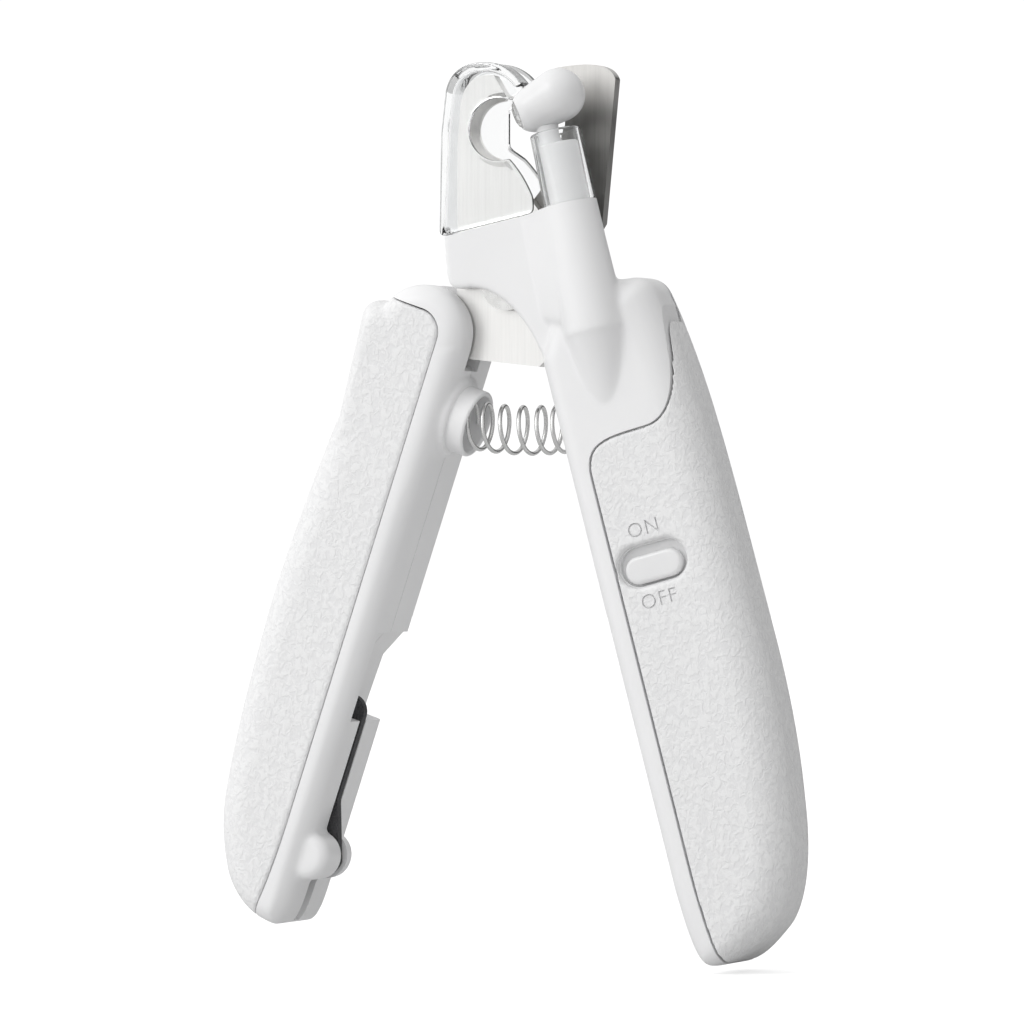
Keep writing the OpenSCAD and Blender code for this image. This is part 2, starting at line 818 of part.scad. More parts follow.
module file_room() {
    slab(slot_front_y, slot_back_y)
        polygon([[-file_edge - nail_file_w - 1.4, -file_reach + 6], [0, -file_reach - 2], [1, pin_z],
            [1, pin_z + file_l + 1], [-file_edge - nail_file_w - 1.4, pin_z + file_l + 1]]);
    bar(pin_x, pin_z, slot_front_y, slot_back_y, knuckle_r + 1.6);
}

module thumb_scoop() {
    slab(front_y + edge_r + 0.7, 1)
        polygon([[-file_edge + 1, scoop_bottom], [-file_edge + 1, scoop_top + 0.6],
            [-file_edge - 1, scoop_top], [-file_edge - 3.4, scoop_top - 5], [-file_edge - 3.8, scoop_bottom]]);
}

module file_cavity() {
    difference() {
        slab(cavity_front_y, cavity_back_y)
            polygon(inset(file_outline, wall + grip_t * 0.6));
        translate([-50, cavity_front_y - 1, -22]) cube([100, body_t, 100]);
        translate([-file_edge - nail_file_w - 2.8, cavity_front_y - 1, -200])
            cube([50, body_t, 200 + scoop_top + 2]);
    }
}

module file_inside() {
    file_cavity();
    slab(mid_y - slot_half, moving_y + blade_t)
        polygon([[-file_edge - wall, -2], [-file_edge - 13.6, -2], [-file_edge - 13.6, -45],
            [-file_edge - wall, -45]]);
    translate([-file_edge - cup_root, mid_y, cup_z])
        rotate([0, 90, 0])
            cylinder(r = cup_r, h = 10);
    file_room();
    thumb_scoop();
    bar(pin_x, pin_z, front_y + 3, -2.4, file_pin_r);
}

module knuckle(y_from, y_to) {
    bar(pin_x, pin_z, y_from, y_to, knuckle_r);
}

module file_shell_cuts() {
    grip_space(file_outline, file_grip_outline);
    file_inside();
    // Room for the fixed blade while the handle swings
    slab(mid_y - slot_half - 0.2, mid_y + slot_half + 0.2) circle(r = 17);
}

module file_handle_front_shell() {
    color("white")
    in_file_handle()
        difference() {
            union() {
                difference() {
                    union() {
                        front_half(file_part_y) handle_form(file_outline);
                        knuckle(front_y + 1.6, file_y);
                    }
                    file_shell_cuts();
                }
                for (p = file_screws)
                    screw_boss(p, cavity_front_y - 0.4, file_part_y - 1);
                bar(-file_edge - tang_peg_x, tang_peg_z, cavity_front_y - 0.4, moving_y + blade_t - 0.2,
                    rib - fit_gap);
            }
            for (p = file_screws)
                screw_hole(p);
        }
}

module file_handle_back_shell() {
    color("white")
    in_file_handle()
        difference() {
            union() {
                difference() {
                    union() {
                        back_half(file_part_y) handle_form(file_outline);
                        knuckle(max(slot_back_y, file_part_y), slot_back_y + 3.2);
                    }
                    file_shell_cuts();
                }
                for (p = file_screws)
                    screw_boss(p, file_part_y + 0.2, cavity_back_y + 0.4);
            }
            for (p = file_screws)
                screw_hole(p);
        }
}

module file_grip_solid() {
    intersection() {
        handle_form(file_outline);
        grip_space(file_outline, file_grip_outline);
    }
}

module file_grip_front() {
    color("ghostwhite")
    in_file_handle() front_half(file_part_y) file_grip_solid();
}

module file_grip_back() {
    color("ghostwhite")
    in_file_handle()
        difference() {
            back_half(file_part_y) file_grip_solid();
            for (p = file_screws)
                screw_hole(p);
        }
}

module file_handle_screws() {
    color("silver")
    in_file_handle()
        for (p = file_screws)
            case_screw(p);
}

module spring_cup() {
    color("white")
    in_file_handle()
        translate([-file_edge - cup_root, mid_y, cup_z])
            rotate([0, 90, 0])
                difference() {
                    cylinder(r = cup_r, h = cup_root + cup_out);
                    translate([0, 0, cup_root + cup_out - cup_depth])
                        cylinder(r = cup_r - cup_wall, h = 10);
                }
}

module file_pin() {
    color("silver")
    in_file_handle() bar(pin_x, pin_z, front_y + 3, -2.4, file_pin_r);
}

module nail_file() {
    color("dimgray")
    in_file_handle()
        difference() {
            slab(file_front_y, file_front_y + file_t)
                union() {
                    translate([pin_x, pin_z]) circle(r = knuckle_r - 0.4);
                    polygon(concat(
                        [[pin_x - nail_file_w, pin_z], [pin_x, pin_z],
                            [pin_x, pin_z + file_l - 3]],
                        [for (a = [0 : 15 : 90])
                            [pin_x - 3 + 3 * cos(a), pin_z + file_l - 3 + 3 * sin(a)]],
                        [[pin_x - nail_file_w, pin_z + file_l - 4]]));
                }
            bar(pin_x, pin_z, file_front_y - 1, file_front_y + file_t + 1, file_pin_r + run_gap);
        }
}

// ---- Handle spring: a coil swept along a line that sags a little between its two seats ----
spring_left = -8.6;
spring_right = 9.9;
left_z = spring_z + 1.1;
right_z = spring_z + 0.3;
spring_sag = 0.7;
ring_sides = 8;
rings_per_turn = 20;
spring_rings = turns * rings_per_turn;

function spring_point(t) = [
    spring_left + (spring_right - spring_left) * t,
    mid_y,
    left_z + (right_z - left_z) * t - 4 * spring_sag * t * (1 - t)
];

// The middle of the wire; the end turns lie closed, as on a ground spring
function wire_point(i) =
    let (
        u = i / spring_rings,
        t = u + 0.02 * sin(360 * u) * -1,
        a = 360 * i / rings_per_turn,
        r = spring_r - wire_d / 2,
        p = spring_point(t)
    )
    [p[0], p[1] + r * cos(a), p[2] + r * sin(a)];

function wire_ring(i) =
    let (
        here = wire_point(i),
        along = unit(wire_point(i + 0.5) - wire_point(i - 0.5)),
        middle = spring_point(i / spring_rings),
        out = unit([0, here[1] - middle[1], here[2] - middle[2]]),
        up = unit(cross(along, out)),
        flat = cross(up, along)
    )
    [for (k = [0 : ring_sides - 1])
        here + wire_d / 2 * (cos(360 * k / ring_sides) * flat + sin(360 * k / ring_sides) * up)];

module handle_spring() {
    points = [for (i = [0 : spring_rings]) each wire_ring(i)];
    sides = [
        for (i = [0 : spring_rings - 1], k = [0 : ring_sides - 1])
            let (
                a = i * ring_sides + k,
                b = i * ring_sides + (k + 1) % ring_sides
            )
            each [[a, b, b + ring_sides], [a, b + ring_sides, a + ring_sides]]
    ];
    first = [for (k = [ring_sides - 1 : -1 : 0]) k];
    last = [for (k = [0 : ring_sides - 1]) spring_rings * ring_sides + k];
    color("silver") polyhedron(points, concat([first], sides, [last]), convexity = 10);
}

lamp_handle_front_shell();
lamp_handle_back_shell();
lamp_grip_front();
lamp_grip_back();
fixed_blade();
pivot_bolt();
pivot_nut();
pivot_washers();
lamp_collar();
lamp_sleeve();
lamp_neck();
lamp_head();
lamp_led();
lamp_lens();
lamp_wires();
circuit_board();
switch_body();
battery_tray();
button_cells();
battery_contacts();
battery_door();
battery_door_screw();
lamp_handle_screws();
spring_seat();
switch_button();
nail_catcher();
file_handle_front_shell();
file_handle_back_shell();
file_grip_front();
file_grip_back();
moving_blade();
file_handle_screws();
spring_cup();
file_pin();
nail_file();
handle_spring();
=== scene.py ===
import math

import bmesh
import bpy
from mathutils import Matrix, Vector


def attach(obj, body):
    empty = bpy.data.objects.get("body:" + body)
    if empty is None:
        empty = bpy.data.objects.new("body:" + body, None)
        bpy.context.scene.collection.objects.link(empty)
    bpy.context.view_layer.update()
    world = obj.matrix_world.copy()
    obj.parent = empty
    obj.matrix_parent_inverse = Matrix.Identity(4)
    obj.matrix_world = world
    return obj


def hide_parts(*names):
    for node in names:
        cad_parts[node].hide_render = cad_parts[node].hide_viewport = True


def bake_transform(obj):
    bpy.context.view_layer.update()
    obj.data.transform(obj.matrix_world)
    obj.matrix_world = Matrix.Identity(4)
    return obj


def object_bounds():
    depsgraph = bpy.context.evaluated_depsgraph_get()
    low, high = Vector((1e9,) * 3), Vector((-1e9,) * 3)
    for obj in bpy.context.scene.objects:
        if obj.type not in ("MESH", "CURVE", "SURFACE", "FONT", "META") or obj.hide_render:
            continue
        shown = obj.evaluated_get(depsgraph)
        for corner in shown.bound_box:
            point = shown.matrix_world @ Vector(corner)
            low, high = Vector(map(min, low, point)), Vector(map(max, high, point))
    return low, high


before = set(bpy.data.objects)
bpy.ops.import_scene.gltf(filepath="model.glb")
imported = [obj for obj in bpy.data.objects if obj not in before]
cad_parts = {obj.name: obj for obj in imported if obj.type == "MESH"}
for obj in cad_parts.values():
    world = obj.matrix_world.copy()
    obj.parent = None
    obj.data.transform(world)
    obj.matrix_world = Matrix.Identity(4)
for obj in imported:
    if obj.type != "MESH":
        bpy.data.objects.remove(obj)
cad_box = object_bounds()

# ---- The studio ----
# A pale floor under the clippers, a soft light from the upper left, and a camera with a long lens
# that looks a little from the right.
MM = 0.001
scene = bpy.context.scene
scene.view_settings.view_transform = "Standard"

camera_turn = math.radians(22)
camera_distance = 1.2
view_width = 0.1763
look = Vector((-math.sin(camera_turn), math.cos(camera_turn), 0))
to_the_right = Vector((math.cos(camera_turn), math.sin(camera_turn), 0))
target = Vector((0, -0.009, -0.0391)) - to_the_right * 0.00052
camera_data = bpy.data.cameras.new("camera")
camera_data.sensor_width = 36
camera_data.lens = 36 * camera_distance / view_width
camera = bpy.data.objects.new("camera", camera_data)
camera.location = target - look * camera_distance
camera.rotation_mode = "QUATERNION"
camera.rotation_quaternion = look.to_track_quat("-Z", "Y")
scene.collection.objects.link(camera)
scene.camera = camera


class Value:
    """A shader socket that Python's own operators work on; each one adds a Math node."""

    def __init__(self, finish, socket):
        self.finish = finish
        self.socket = socket

    def math(self, operation, first, second):
        return self.finish.node("ShaderNodeMath", {"operation": operation}, {0: first, 1: second})

    def __add__(self, other):
        return self.math("ADD", self, other)

    def __radd__(self, other):
        return self.math("ADD", other, self)

    def __sub__(self, other):
        return self.math("SUBTRACT", self, other)

    def __rsub__(self, other):
        return self.math("SUBTRACT", other, self)

    def __mul__(self, other):
        return self.math("MULTIPLY", self, other)

    def __rmul__(self, other):
        return self.math("MULTIPLY", other, self)


class Finish:
    """A material of one finish; constants are sockets of its Principled shader."""

    def __init__(self, name, owner=None, **constants):
        self.made = owner or bpy.data.materials.new(name)
        self.made.use_nodes = True
        self.tree = self.made.node_tree
        self.shader = self.tree.nodes.get("Principled BSDF")
        for socket, value in constants.items():
            self.shader.inputs[socket.replace("_", " ")].default_value = value

    def node(self, kind, settings, inputs, output=0):
        made = self.tree.nodes.new(kind)
        for key, value in settings.items():
            if key == "stops":
                ramp = made.color_ramp
                while len(ramp.elements) < len(value):
                    ramp.elements.new(1)
                for element, (place, colour) in zip(ramp.elements, value):
                    element.position = place
                    element.color = (*colour, 1)
            else:
                setattr(made, key, value)
        for key, value in inputs.items():
            if isinstance(value, Value):
                self.tree.links.new(value.socket, made.inputs[key])
            else:
                made.inputs[key].default_value = value
        return Value(self, made.outputs[output])

    def place(self, scale=(1, 1, 1), turn=(0, 0, 0)):
        """Object coordinates, stretched by scale and turned."""
        where = self.node("ShaderNodeTexCoord", {}, {}, "Object")
        return self.node("ShaderNodeMapping", {}, {"Vector": where, "Rotation": turn, "Scale": scale})

    def noise(self, where, scale, detail=3.0, roughness=0.5, distortion=0.0, kind="FBM"):
        return self.node("ShaderNodeTexNoise", {"noise_type": kind, "normalize": True}, {
            "Vector": where, "Scale": scale, "Detail": detail, "Roughness": roughness,
            "Distortion": distortion})

    def ramp(self, value, stops):
        return self.node("ShaderNodeValToRGB", {"stops": stops}, {0: value})

    def spread(self, value, low, high):
        """A 0 to 1 value mapped on to low to high."""
        return value * (high - low) + low

    def bump(self, height, distance, strength=1.0):
        normal = self.node("ShaderNodeBump", {}, {
            "Height": height, "Distance": distance, "Strength": strength})
        self.feed("Normal", normal)

    def feed(self, socket, value):
        self.tree.links.new(value.socket, self.shader.inputs[socket])


floor_z = cad_box[0].z - 0.0006
shape = bmesh.new()
bmesh.ops.create_circle(shape, cap_ends=True, radius=4, segments=64)
bmesh.ops.translate(shape, verts=shape.verts, vec=(0, 0, floor_z))
floor_mesh = bpy.data.meshes.new("floor")
shape.to_mesh(floor_mesh)
shape.free()
floor = bpy.data.objects.new("floor", floor_mesh)
scene.collection.objects.link(floor)
paper = Finish("white paper floor", Roughness=0.9, Emission_Strength=0.62)
paper.feed("Base Color", paper.ramp(paper.noise(paper.place(), 3), [
    (0, (0.60, 0.60, 0.60)), (1, (0.62, 0.62, 0.62))]))
paper.feed("Emission Color", paper.ramp(
    paper.node("ShaderNodeLightPath", {}, {}, "Is Camera Ray"), [(0, (0, 0, 0)), (1, (1, 1, 1))]))
floor_mesh.materials.append(paper.made)

world = bpy.data.worlds.new("studio")
world.use_nodes = True
scene.world = world
sky = Finish("studio", owner=world)
ahead = sky.node("ShaderNodeTexCoord", {}, {}, "Generated")


def toward(direction):
    """How far the sky's direction lies towards this one, from -1 to 1."""
    return sky.node("ShaderNodeVectorMath", {"operation": "DOT_PRODUCT"}, {
        0: ahead, 1: Vector(direction).normalized()}, "Value")


soft_light = 0.745 + 0.49 * toward((-0.75, -0.5, 0.43))
dark_card = sky.node("ShaderNodeMapRange", {"interpolation_type": "SMOOTHSTEP"}, {
    "Value": toward((0.45, 0.9, 0)), "From Min": 0.86, "From Max": 0.95, "To Min": 1, "To Max": 0.1})
side_card = sky.node("ShaderNodeMapRange", {"interpolation_type": "SMOOTHSTEP"}, {
    "Value": toward((1, -0.25, -0.1)), "From Min": 0.88, "From Max": 0.97, "To Min": 1, "To Max": 0.25})
seen = sky.node("ShaderNodeLightPath", {}, {}, "Is Camera Ray")
through = sky.node("ShaderNodeLightPath", {}, {}, "Is Transmission Ray")
backdrop_level = 1.05
background = world.node_tree.nodes["Background"]
background.inputs["Color"].default_value = (1, 1, 1, 1)
level = soft_light * dark_card * side_card
level = through + (1 - through) * level
level = seen * backdrop_level + (1 - seen) * level
world.node_tree.links.new(level.socket, background.inputs["Strength"])

studio_lamps = [
    ("key", (-0.55, -0.75, 0.55), 1.9, 0.5),
    ("near left", (-0.17, -0.2, -0.05), 0.035, 0.14)]
for name, place, energy, size in studio_lamps:
    lamp_data = bpy.data.lights.new(name, "AREA")
    lamp_data.energy = energy
    lamp_data.size = size
    lamp = bpy.data.objects.new(name, lamp_data)
    lamp.location = place
    lamp.rotation_mode = "QUATERNION"
    lamp.rotation_quaternion = (target - lamp.location).to_track_quat("-Z", "Y")
    scene.collection.objects.link(lamp)


# ---- Lamp handle shells ----
# Two moulded halves in satin white plastic. The front half carries the head over the pivot and
# the lamp tube; both meet at a parting line behind the middle, and are screwed from the back.
THICK = 18.0
FRONT = -THICK
MIDDLE = -THICK / 2
LAMP_PARTING = -5.2
GRIP_DEPTH = 1.2
SEAM_GAP = 0.16
FRONT_ROUND, BACK_ROUND, OUTER_ROUND = 3.4, 1.0, 6.2
BLADE_ROOM = (-11.7, -6.3)
SHELL_GRID = 0.42
lamp_lean = math.radians(15)
in_lamp_handle = Matrix.Rotation(-lamp_lean, 4, "Y")
tube_turn = Matrix.Rotation(lamp_lean - math.radians(12.2), 4, "Y")
in_tube = in_lamp_handle @ tube_turn


def curve(a, b, c, d, steps=20):
    """Points along a cubic stretch of an outline, without its last point."""
    line = []
    for i in range(steps):
        t = i / steps
        s = 1 - t
        line.append(tuple(
            s ** 3 * a[k] + 3 * s * s * t * b[k] + 3 * s * t * t * c[k] + t ** 3 * d[k]
            for k in (0, 1)))
    return line


def arc(x, z, radius, start, end, steps=24):
    """Points on an arc, from one angle to another in degrees."""
    turns = [math.radians(start + (end - start) * i / steps) for i in range(steps + 1)]
    return [(x + radius * math.cos(a), z + radius * math.sin(a)) for a in turns]


def turned_round(line):
    """The same outline, drawn the other way round."""
    return line[::-1]


def inset(line, distance):
    """An anticlockwise outline, moved inwards by a distance or by a function of x."""
    shifted = []
    for i, (x, z) in enumerate(line):
        after, before = line[(i + 1) % len(line)], line[i - 1]
        along = Vector((after[0] - before[0], after[1] - before[1])).normalized()
        depth = distance(x) if callable(distance) else distance
        shifted.append((x - along.y * depth, z + along.x * depth))
    return shifted


def solid(shape, name="part"):
    """An object made from a bmesh, which is used up."""
    bmesh.ops.recalc_face_normals(shape, faces=shape.faces)
    mesh = bpy.data.meshes.new(name)
    shape.to_mesh(mesh)
    shape.free()
    item = bpy.data.objects.new(name, mesh)
    scene.collection.objects.link(item)
    return item


def moved(shape, matrix):
    """A bmesh, after it is moved by a matrix."""
    bmesh.ops.transform(shape, matrix=matrix, verts=shape.verts)
    return shape


def wrap(shape):
    """Keeps only the convex skin round a bmesh's points."""
    bmesh.ops.delete(shape, geom=list(shape.edges), context="EDGES_FACES")
    made = bmesh.ops.convex_hull(shape, input=shape.verts)
    spare = {g for g in made["geom_interior"] + made["geom_unused"] if isinstance(g, bmesh.types.BMVert)}
    bmesh.ops.delete(shape, geom=list(spare), context="VERTS")
    return shape


def plate(line, front, back):
    """A flat plate with this outline, between two depths."""
    shape = bmesh.new()
    face = shape.faces.new([shape.verts.new((x, front, z)) for x, z in line])
    grown = bmesh.ops.extrude_face_region(shape, geom=[face])["geom"]
    corners = [g for g in grown if isinstance(g, bmesh.types.BMVert)]
    bmesh.ops.translate(shape, verts=corners, vec=(0, back - front, 0))
    return shape


def tapered(line, front, back, growth):
    """A convex plate that is wider at the front than at the back."""
    shape = bmesh.new()
    for depth, size in ((front, -growth), (back, 0)):
        for x, z in inset(line, size):
            shape.verts.new((x, depth, z))
    return wrap(shape)


def soft_slab(line, front, back, front_edge, back_edge, steps=7):
    """A convex slab whose long edges are quarter rounds; a radius may depend on x."""
    shape = bmesh.new()
    for start, way, radius in ((front, 1, front_edge), (back, -1, back_edge)):
        size = radius if callable(radius) else lambda x, size=radius: size
        for k in range(steps + 1):
            turn = math.pi / 2 * k / steps
            rim = inset(line, lambda x: size(x) * (1 - math.sin(turn)))
            for (x, _), (rim_x, rim_z) in zip(line, rim):
                shape.verts.new((rim_x, start + way * size(x) * (1 - math.cos(turn)), rim_z))
    return wrap(shape)


def rod(x, z, front, back, radius, far_radius=None, segments=64):
    """A round bar along Y."""
    shape = bmesh.new()
    bmesh.ops.create_cone(
        shape, cap_ends=True, segments=segments, radius1=far_radius or radius, radius2=radius,
        depth=back - front, matrix=Matrix.Translation((x, (front + back) / 2, z))
        @ Matrix.Rotation(math.pi / 2, 4, "X"))
    return shape


def upright(x, y, bottom, top, radius, top_radius=None, segments=64):
    """A round bar along Z."""
    shape = bmesh.new()
    bmesh.ops.create_cone(
        shape, cap_ends=True, segments=segments, radius1=radius, radius2=top_radius or radius,
        depth=top - bottom, matrix=Matrix.Translation((x, y, (bottom + top) / 2)))
    return shape


def crossways(left, right, z, radius, segments=64):
    """A round bar along X, in the middle plane."""
    shape = upright(0, 0, left, right, radius, segments=segments)
    return moved(shape, Matrix.Translation((0, MIDDLE, z)) @ Matrix.Rotation(math.pi / 2, 4, "Y"))


def block(low, high):
    """A box between two opposite corners."""
    shape = bmesh.new()
    bmesh.ops.create_cube(shape, size=1)
    bmesh.ops.scale(shape, vec=[b - a for a, b in zip(low, high)], verts=shape.verts)
    bmesh.ops.translate(shape, vec=[(a + b) / 2 for a, b in zip(low, high)], verts=shape.verts)
    return shape


def blob(*balls):
    """The convex skin round some balls."""
    shape = bmesh.new()
    for x, y, z, radius in balls:
        bmesh.ops.create_uvsphere(shape, u_segments=48, v_segments=28, radius=radius,
                                  matrix=Matrix.Translation((x, y, z)))
    return wrap(shape)


def turned(profile, steps=72):
    """A piece turned about Z, from the radius and height of each point round its section."""
    shape = bmesh.new()
    line = [shape.verts.new((radius, 0, height)) for radius, height in profile]
    edges = [shape.edges.new(pair) for pair in zip(line, line[1:] + line[:1])
             if pair[0].co.x > 0 or pair[1].co.x > 0]
    bmesh.ops.spin(shape, geom=line + edges, axis=(0, 0, 1), angle=2 * math.pi, steps=steps,
                   use_merge=True)
    bmesh.ops.remove_doubles(shape, verts=shape.verts, dist=0.0001)
    return shape


def settle(item):
    """Applies an object's modifiers to its mesh."""
    bpy.context.view_layer.update()
    mesh = bpy.data.meshes.new_from_object(item.evaluated_get(bpy.context.evaluated_depsgraph_get()))
    item.modifiers.clear()
    old, item.data = item.data, mesh
    bpy.data.meshes.remove(old)
    return item


def combine(item, operation, *tools):
    """Cuts, joins or keeps what is common with each tool; a bmesh tool is used up."""
    for tool in tools:
        spare = not isinstance(tool, bpy.types.Object)
        other = solid(tool) if spare else tool
        change = item.modifiers.new("change", "BOOLEAN")
        change.operation = operation
        change.solver = "MANIFOLD"
        change.object = other
        settle(item)
        if spare:
            bpy.data.objects.remove(other)
    return item


def copy_of(item):
    """A second object with its own copy of the mesh."""
    twin = bpy.data.objects.new(item.name, item.data.copy())
    scene.collection.objects.link(twin)
    return twin


def reskin(item, voxel, passes):
    """A new even skin, with its corners eased."""
    skin = item.modifiers.new("skin", "REMESH")
    skin.mode = "VOXEL"
    skin.voxel_size = voxel
    ease = item.modifiers.new("ease", "SMOOTH")
    ease.factor = 0.5
    ease.iterations = passes
    return settle(item)


def moulded(parts, voxel, passes):
    """One skin round overlapping parts, its inner corners filled and its edges eased."""
    whole = bmesh.new()
    for part in parts:
        mesh = bpy.data.meshes.new("part")
        bmesh.ops.recalc_face_normals(part, faces=part.faces)
        part.to_mesh(mesh)
        part.free()
        whole.from_mesh(mesh)
        bpy.data.meshes.remove(mesh)
    mesh = bpy.data.meshes.new("moulded")
    whole.to_mesh(mesh)
    whole.free()
    item = bpy.data.objects.new("moulded", mesh)
    scene.collection.objects.link(item)
    return reskin(item, voxel, passes)


def eased(item, width, segments=2, angle=30):
    """Rounds an object's sharp edges."""
    edge = item.modifiers.new("edge", "BEVEL")
    edge.width = width
    edge.segments = segments
    edge.limit_method = "ANGLE"
    edge.angle_limit = math.radians(angle)
    return settle(item)


def fit(item, name, body, slot, finish, *stands_for, turn=Matrix.Identity(4), sharp=38, rides=True):
    """Scales a finished piece to metres, shades it, and hands it to its body."""
    item.data.transform(turn @ Matrix.Scale(MM, 4))
    item.name = name
    item.data.name = name
    item.data.materials.clear()
    item.data.materials.append(finish.made)
    item.data.shade_smooth()
    item.data.set_sharp_from_angle(angle=math.radians(sharp))
    normals = item.modifiers.new("even shading", "WEIGHTED_NORMAL")
    normals.keep_sharp = True
    if rides:
        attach(item, body)
    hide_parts(*stands_for)
    return item


def outer_edge(side, inner_radius):
    """An edge radius that grows from the inner side of a handle to its outer side."""
    def radius(x):
        share = min(max((side * x - 8) / 11, 0), 1)
        return inner_radius + (OUTER_ROUND - inner_radius) * share * share * (3 - 2 * share)
    return radius


LAMP_INNER = 4.0
lamp_outline = (
    [(LAMP_INNER, -15), (LAMP_INNER, -60)]
    + curve((LAMP_INNER, -108), (4.2, -113), (4.4, -120.8), (6.6, -121.8))
    + curve((6.6, -121.8), (9, -123), (15, -121.6), (19.6, -118.1))
    + curve((19.6, -118.1), (23.4, -114.6), (26, -107), (27.1, -98.8))
    + curve((27.1, -98.8), (28.6, -90), (29.3, -80), (29.2, -70))
    + curve((29.2, -70), (29, -52), (29.1, -40), (28.4, -27.8))
    + curve((28.4, -27.8), (27.9, -20), (27.2, -14.5), (26.2, -9.3))
    + curve((26.2, -9.3), (25.8, -6.6), (24.6, -5.4), (22, -5))
    + [(15.9, -4.2), (10, -4.6)])
head_outline = (
    [(-8.3, 13), (-8.3, 10.6)]
    + curve((-9.4, 4.4), (-9.6, 2.2), (-9, 1.4), (-7, 1.2), 10)
    + curve((-7, 1.2), (-1, 0.6), (3.6, -7), (4.2, -16))
    + [(4.2, -22), (15.9, -24)])
SEAM = 10.3
TUBE_X, TUBE_Y, TUBE_R = 15.9, -17.0, 4.5
lamp_whole = moulded([
    soft_slab(lamp_outline, FRONT, 0, outer_edge(1, FRONT_ROUND), outer_edge(1, BACK_ROUND)),
    plate(head_outline + [(19.4, -22), (19.4, 13)], -15.5, BLADE_ROOM[0]),
    plate(head_outline + [(13.3, -16), (13.1, 13)], BLADE_ROOM[1], 0),
    moved(upright(TUBE_X, TUBE_Y, -12, 13, TUBE_R + 0.9, TUBE_R), tube_turn),
    moved(blob((TUBE_X, TUBE_Y, -11, TUBE_R + 0.8), (TUBE_X - 1, TUBE_Y + 5.4, -34, 3)), tube_turn),
    moved(blob(*[(TUBE_X - 1.5, TUBE_Y - 0.6, z, 3.4) for z in (-9, 13)],
               *[(TUBE_X - 9.5, -14.95, z, 0.6) for z in (-7, 13)]), tube_turn)], SHELL_GRID, 6)


def split(item, front, back):
    """The part of a solid between two depths."""
    return combine(copy_of(item), "INTERSECT", block((-100, front, -200), (100, back, 100)))


lamp_grip_line = (
    curve((8.2, -37), (8.2, -60), (8.2, -80), (8.2, -103), 4)
    + curve((8.2, -103), (8.2, -113), (8.8, -120), (10.6, -127), 10)
    + [(34, -127), (34, -9.9), (27.9, -9.9)]
    + curve((27.6, -9.9), (26.8, -9.9), (26.5, -10.4), (26.5, -11.6), 8)
    + curve((26.5, -11.6), (26.5, -18), (27.6, -30.6), (20, -30.6))
    + curve((20, -30.6), (12.2, -30.6), (8.2, -30.6), (8.2, -37), 12))


def skin_tool(outline, grip_line, gap, side):
    """The space that a grip takes out of a handle: inside its line, and outside the core."""
    tool = solid(plate(inset(grip_line, gap), FRONT - 3, 3))
    core = soft_slab(
        inset(outline, GRIP_DEPTH), FRONT + GRIP_DEPTH, -GRIP_DEPTH,
        lambda x: outer_edge(side, FRONT_ROUND)(x) - GRIP_DEPTH,
        lambda x: max(outer_edge(side, BACK_ROUND)(x) - GRIP_DEPTH, 0.4))
    return combine(tool, "DIFFERENCE", core)


def hollow_tool(outline, top):
    """The room inside a handle's two shells, below a height."""
    room = soft_slab(inset(outline, 3.2), FRONT + 3, -3, 2.4, 2.4)
    return combine(solid(room), "DIFFERENCE", block((-60, -30, top), (60, 10, 60)))


def stadium(x, z, length, width):
    """A slot's outline with round ends, along X."""
    reach = (length - width) / 2
    return arc(x + reach, z, width / 2, -90, 90) + arc(x - reach, z, width / 2, 90, 270)


SWITCH_X, SWITCH_Z = 15.2, -53.5
RECESS_LENGTH, RECESS_WIDTH = 12.3, 6.8
SEAT_Z = -27.0


def recess(extra):
    """The switch's recess: its floor, the slot for the stem, and its sloped rim."""
    rim = stadium(SWITCH_X, SWITCH_Z, RECESS_LENGTH + extra, RECESS_WIDTH + extra)
    return [plate(rim, FRONT - 1, -15.7),
            block((SWITCH_X - 2.8, -16, -56.2), (SWITCH_X + 2.8, -13, -51.7)),
            tapered(rim, FRONT - 0.5, FRONT + 0.9, 0.75)]


lamp_pocket = skin_tool(lamp_outline, lamp_grip_line, 0, 1)
lamp_room = hollow_tool(lamp_outline, -27)
lamp_screws = [(8.6, -66), (8.6, -100), (22, -30)]
seam_cut = [(-40, SEAM), (60, SEAM), (60, 50), (-40, 50)]


def screw_bores(places):
    """The wide holes in the back that the case screws' heads sink into."""
    return [rod(x, z, -2.9, 1, 2.3, segments=32) for x, z in places]


def lamp_cuts():
    """Room for the blades, the collar, the spring seat and the fixed blade's tang."""
    return [rod(0, 0, *BLADE_ROOM, 19), moved(plate(seam_cut, -40, 10), tube_turn),
            crossways(2.2, 5.8, SEAT_Z, 5.0),
            plate([(6, 0), (6, -45), (18.8, -45), (18.8, 0)], -11.4, BLADE_ROOM[1])]


lamp_front = split(lamp_whole, -40, LAMP_PARTING - SEAM_GAP / 2)
combine(lamp_front, "DIFFERENCE", lamp_pocket, lamp_room, *recess(0), *lamp_cuts(),
        moved(upright(TUBE_X, TUBE_Y, SEAM - 3, SEAM + 1, 3.6), tube_turn),
        moved(upright(TUBE_X, TUBE_Y, -21, SEAM, 1.6), tube_turn))
combine(lamp_front, "DIFFERENCE",
        plate([(-30, 30), (-30, -14), (3.9, -14), (3.9, 30)], BLADE_ROOM[1], 5))
lamp_back = split(lamp_whole, LAMP_PARTING + SEAM_GAP / 2, 20)
head_back = combine(split(lamp_whole, BLADE_ROOM[1], LAMP_PARTING + SEAM_GAP), "DIFFERENCE",
                    plate([(3.95, -14), (60, -14), (60, -140), (3.95, -140)], -20, 5))
combine(lamp_back, "UNION", head_back)
bpy.data.objects.remove(head_back)
door_line = [(9.55, -97.6), (22.65, -97.6), (22.65, -70.7), (9.55, -70.7)]
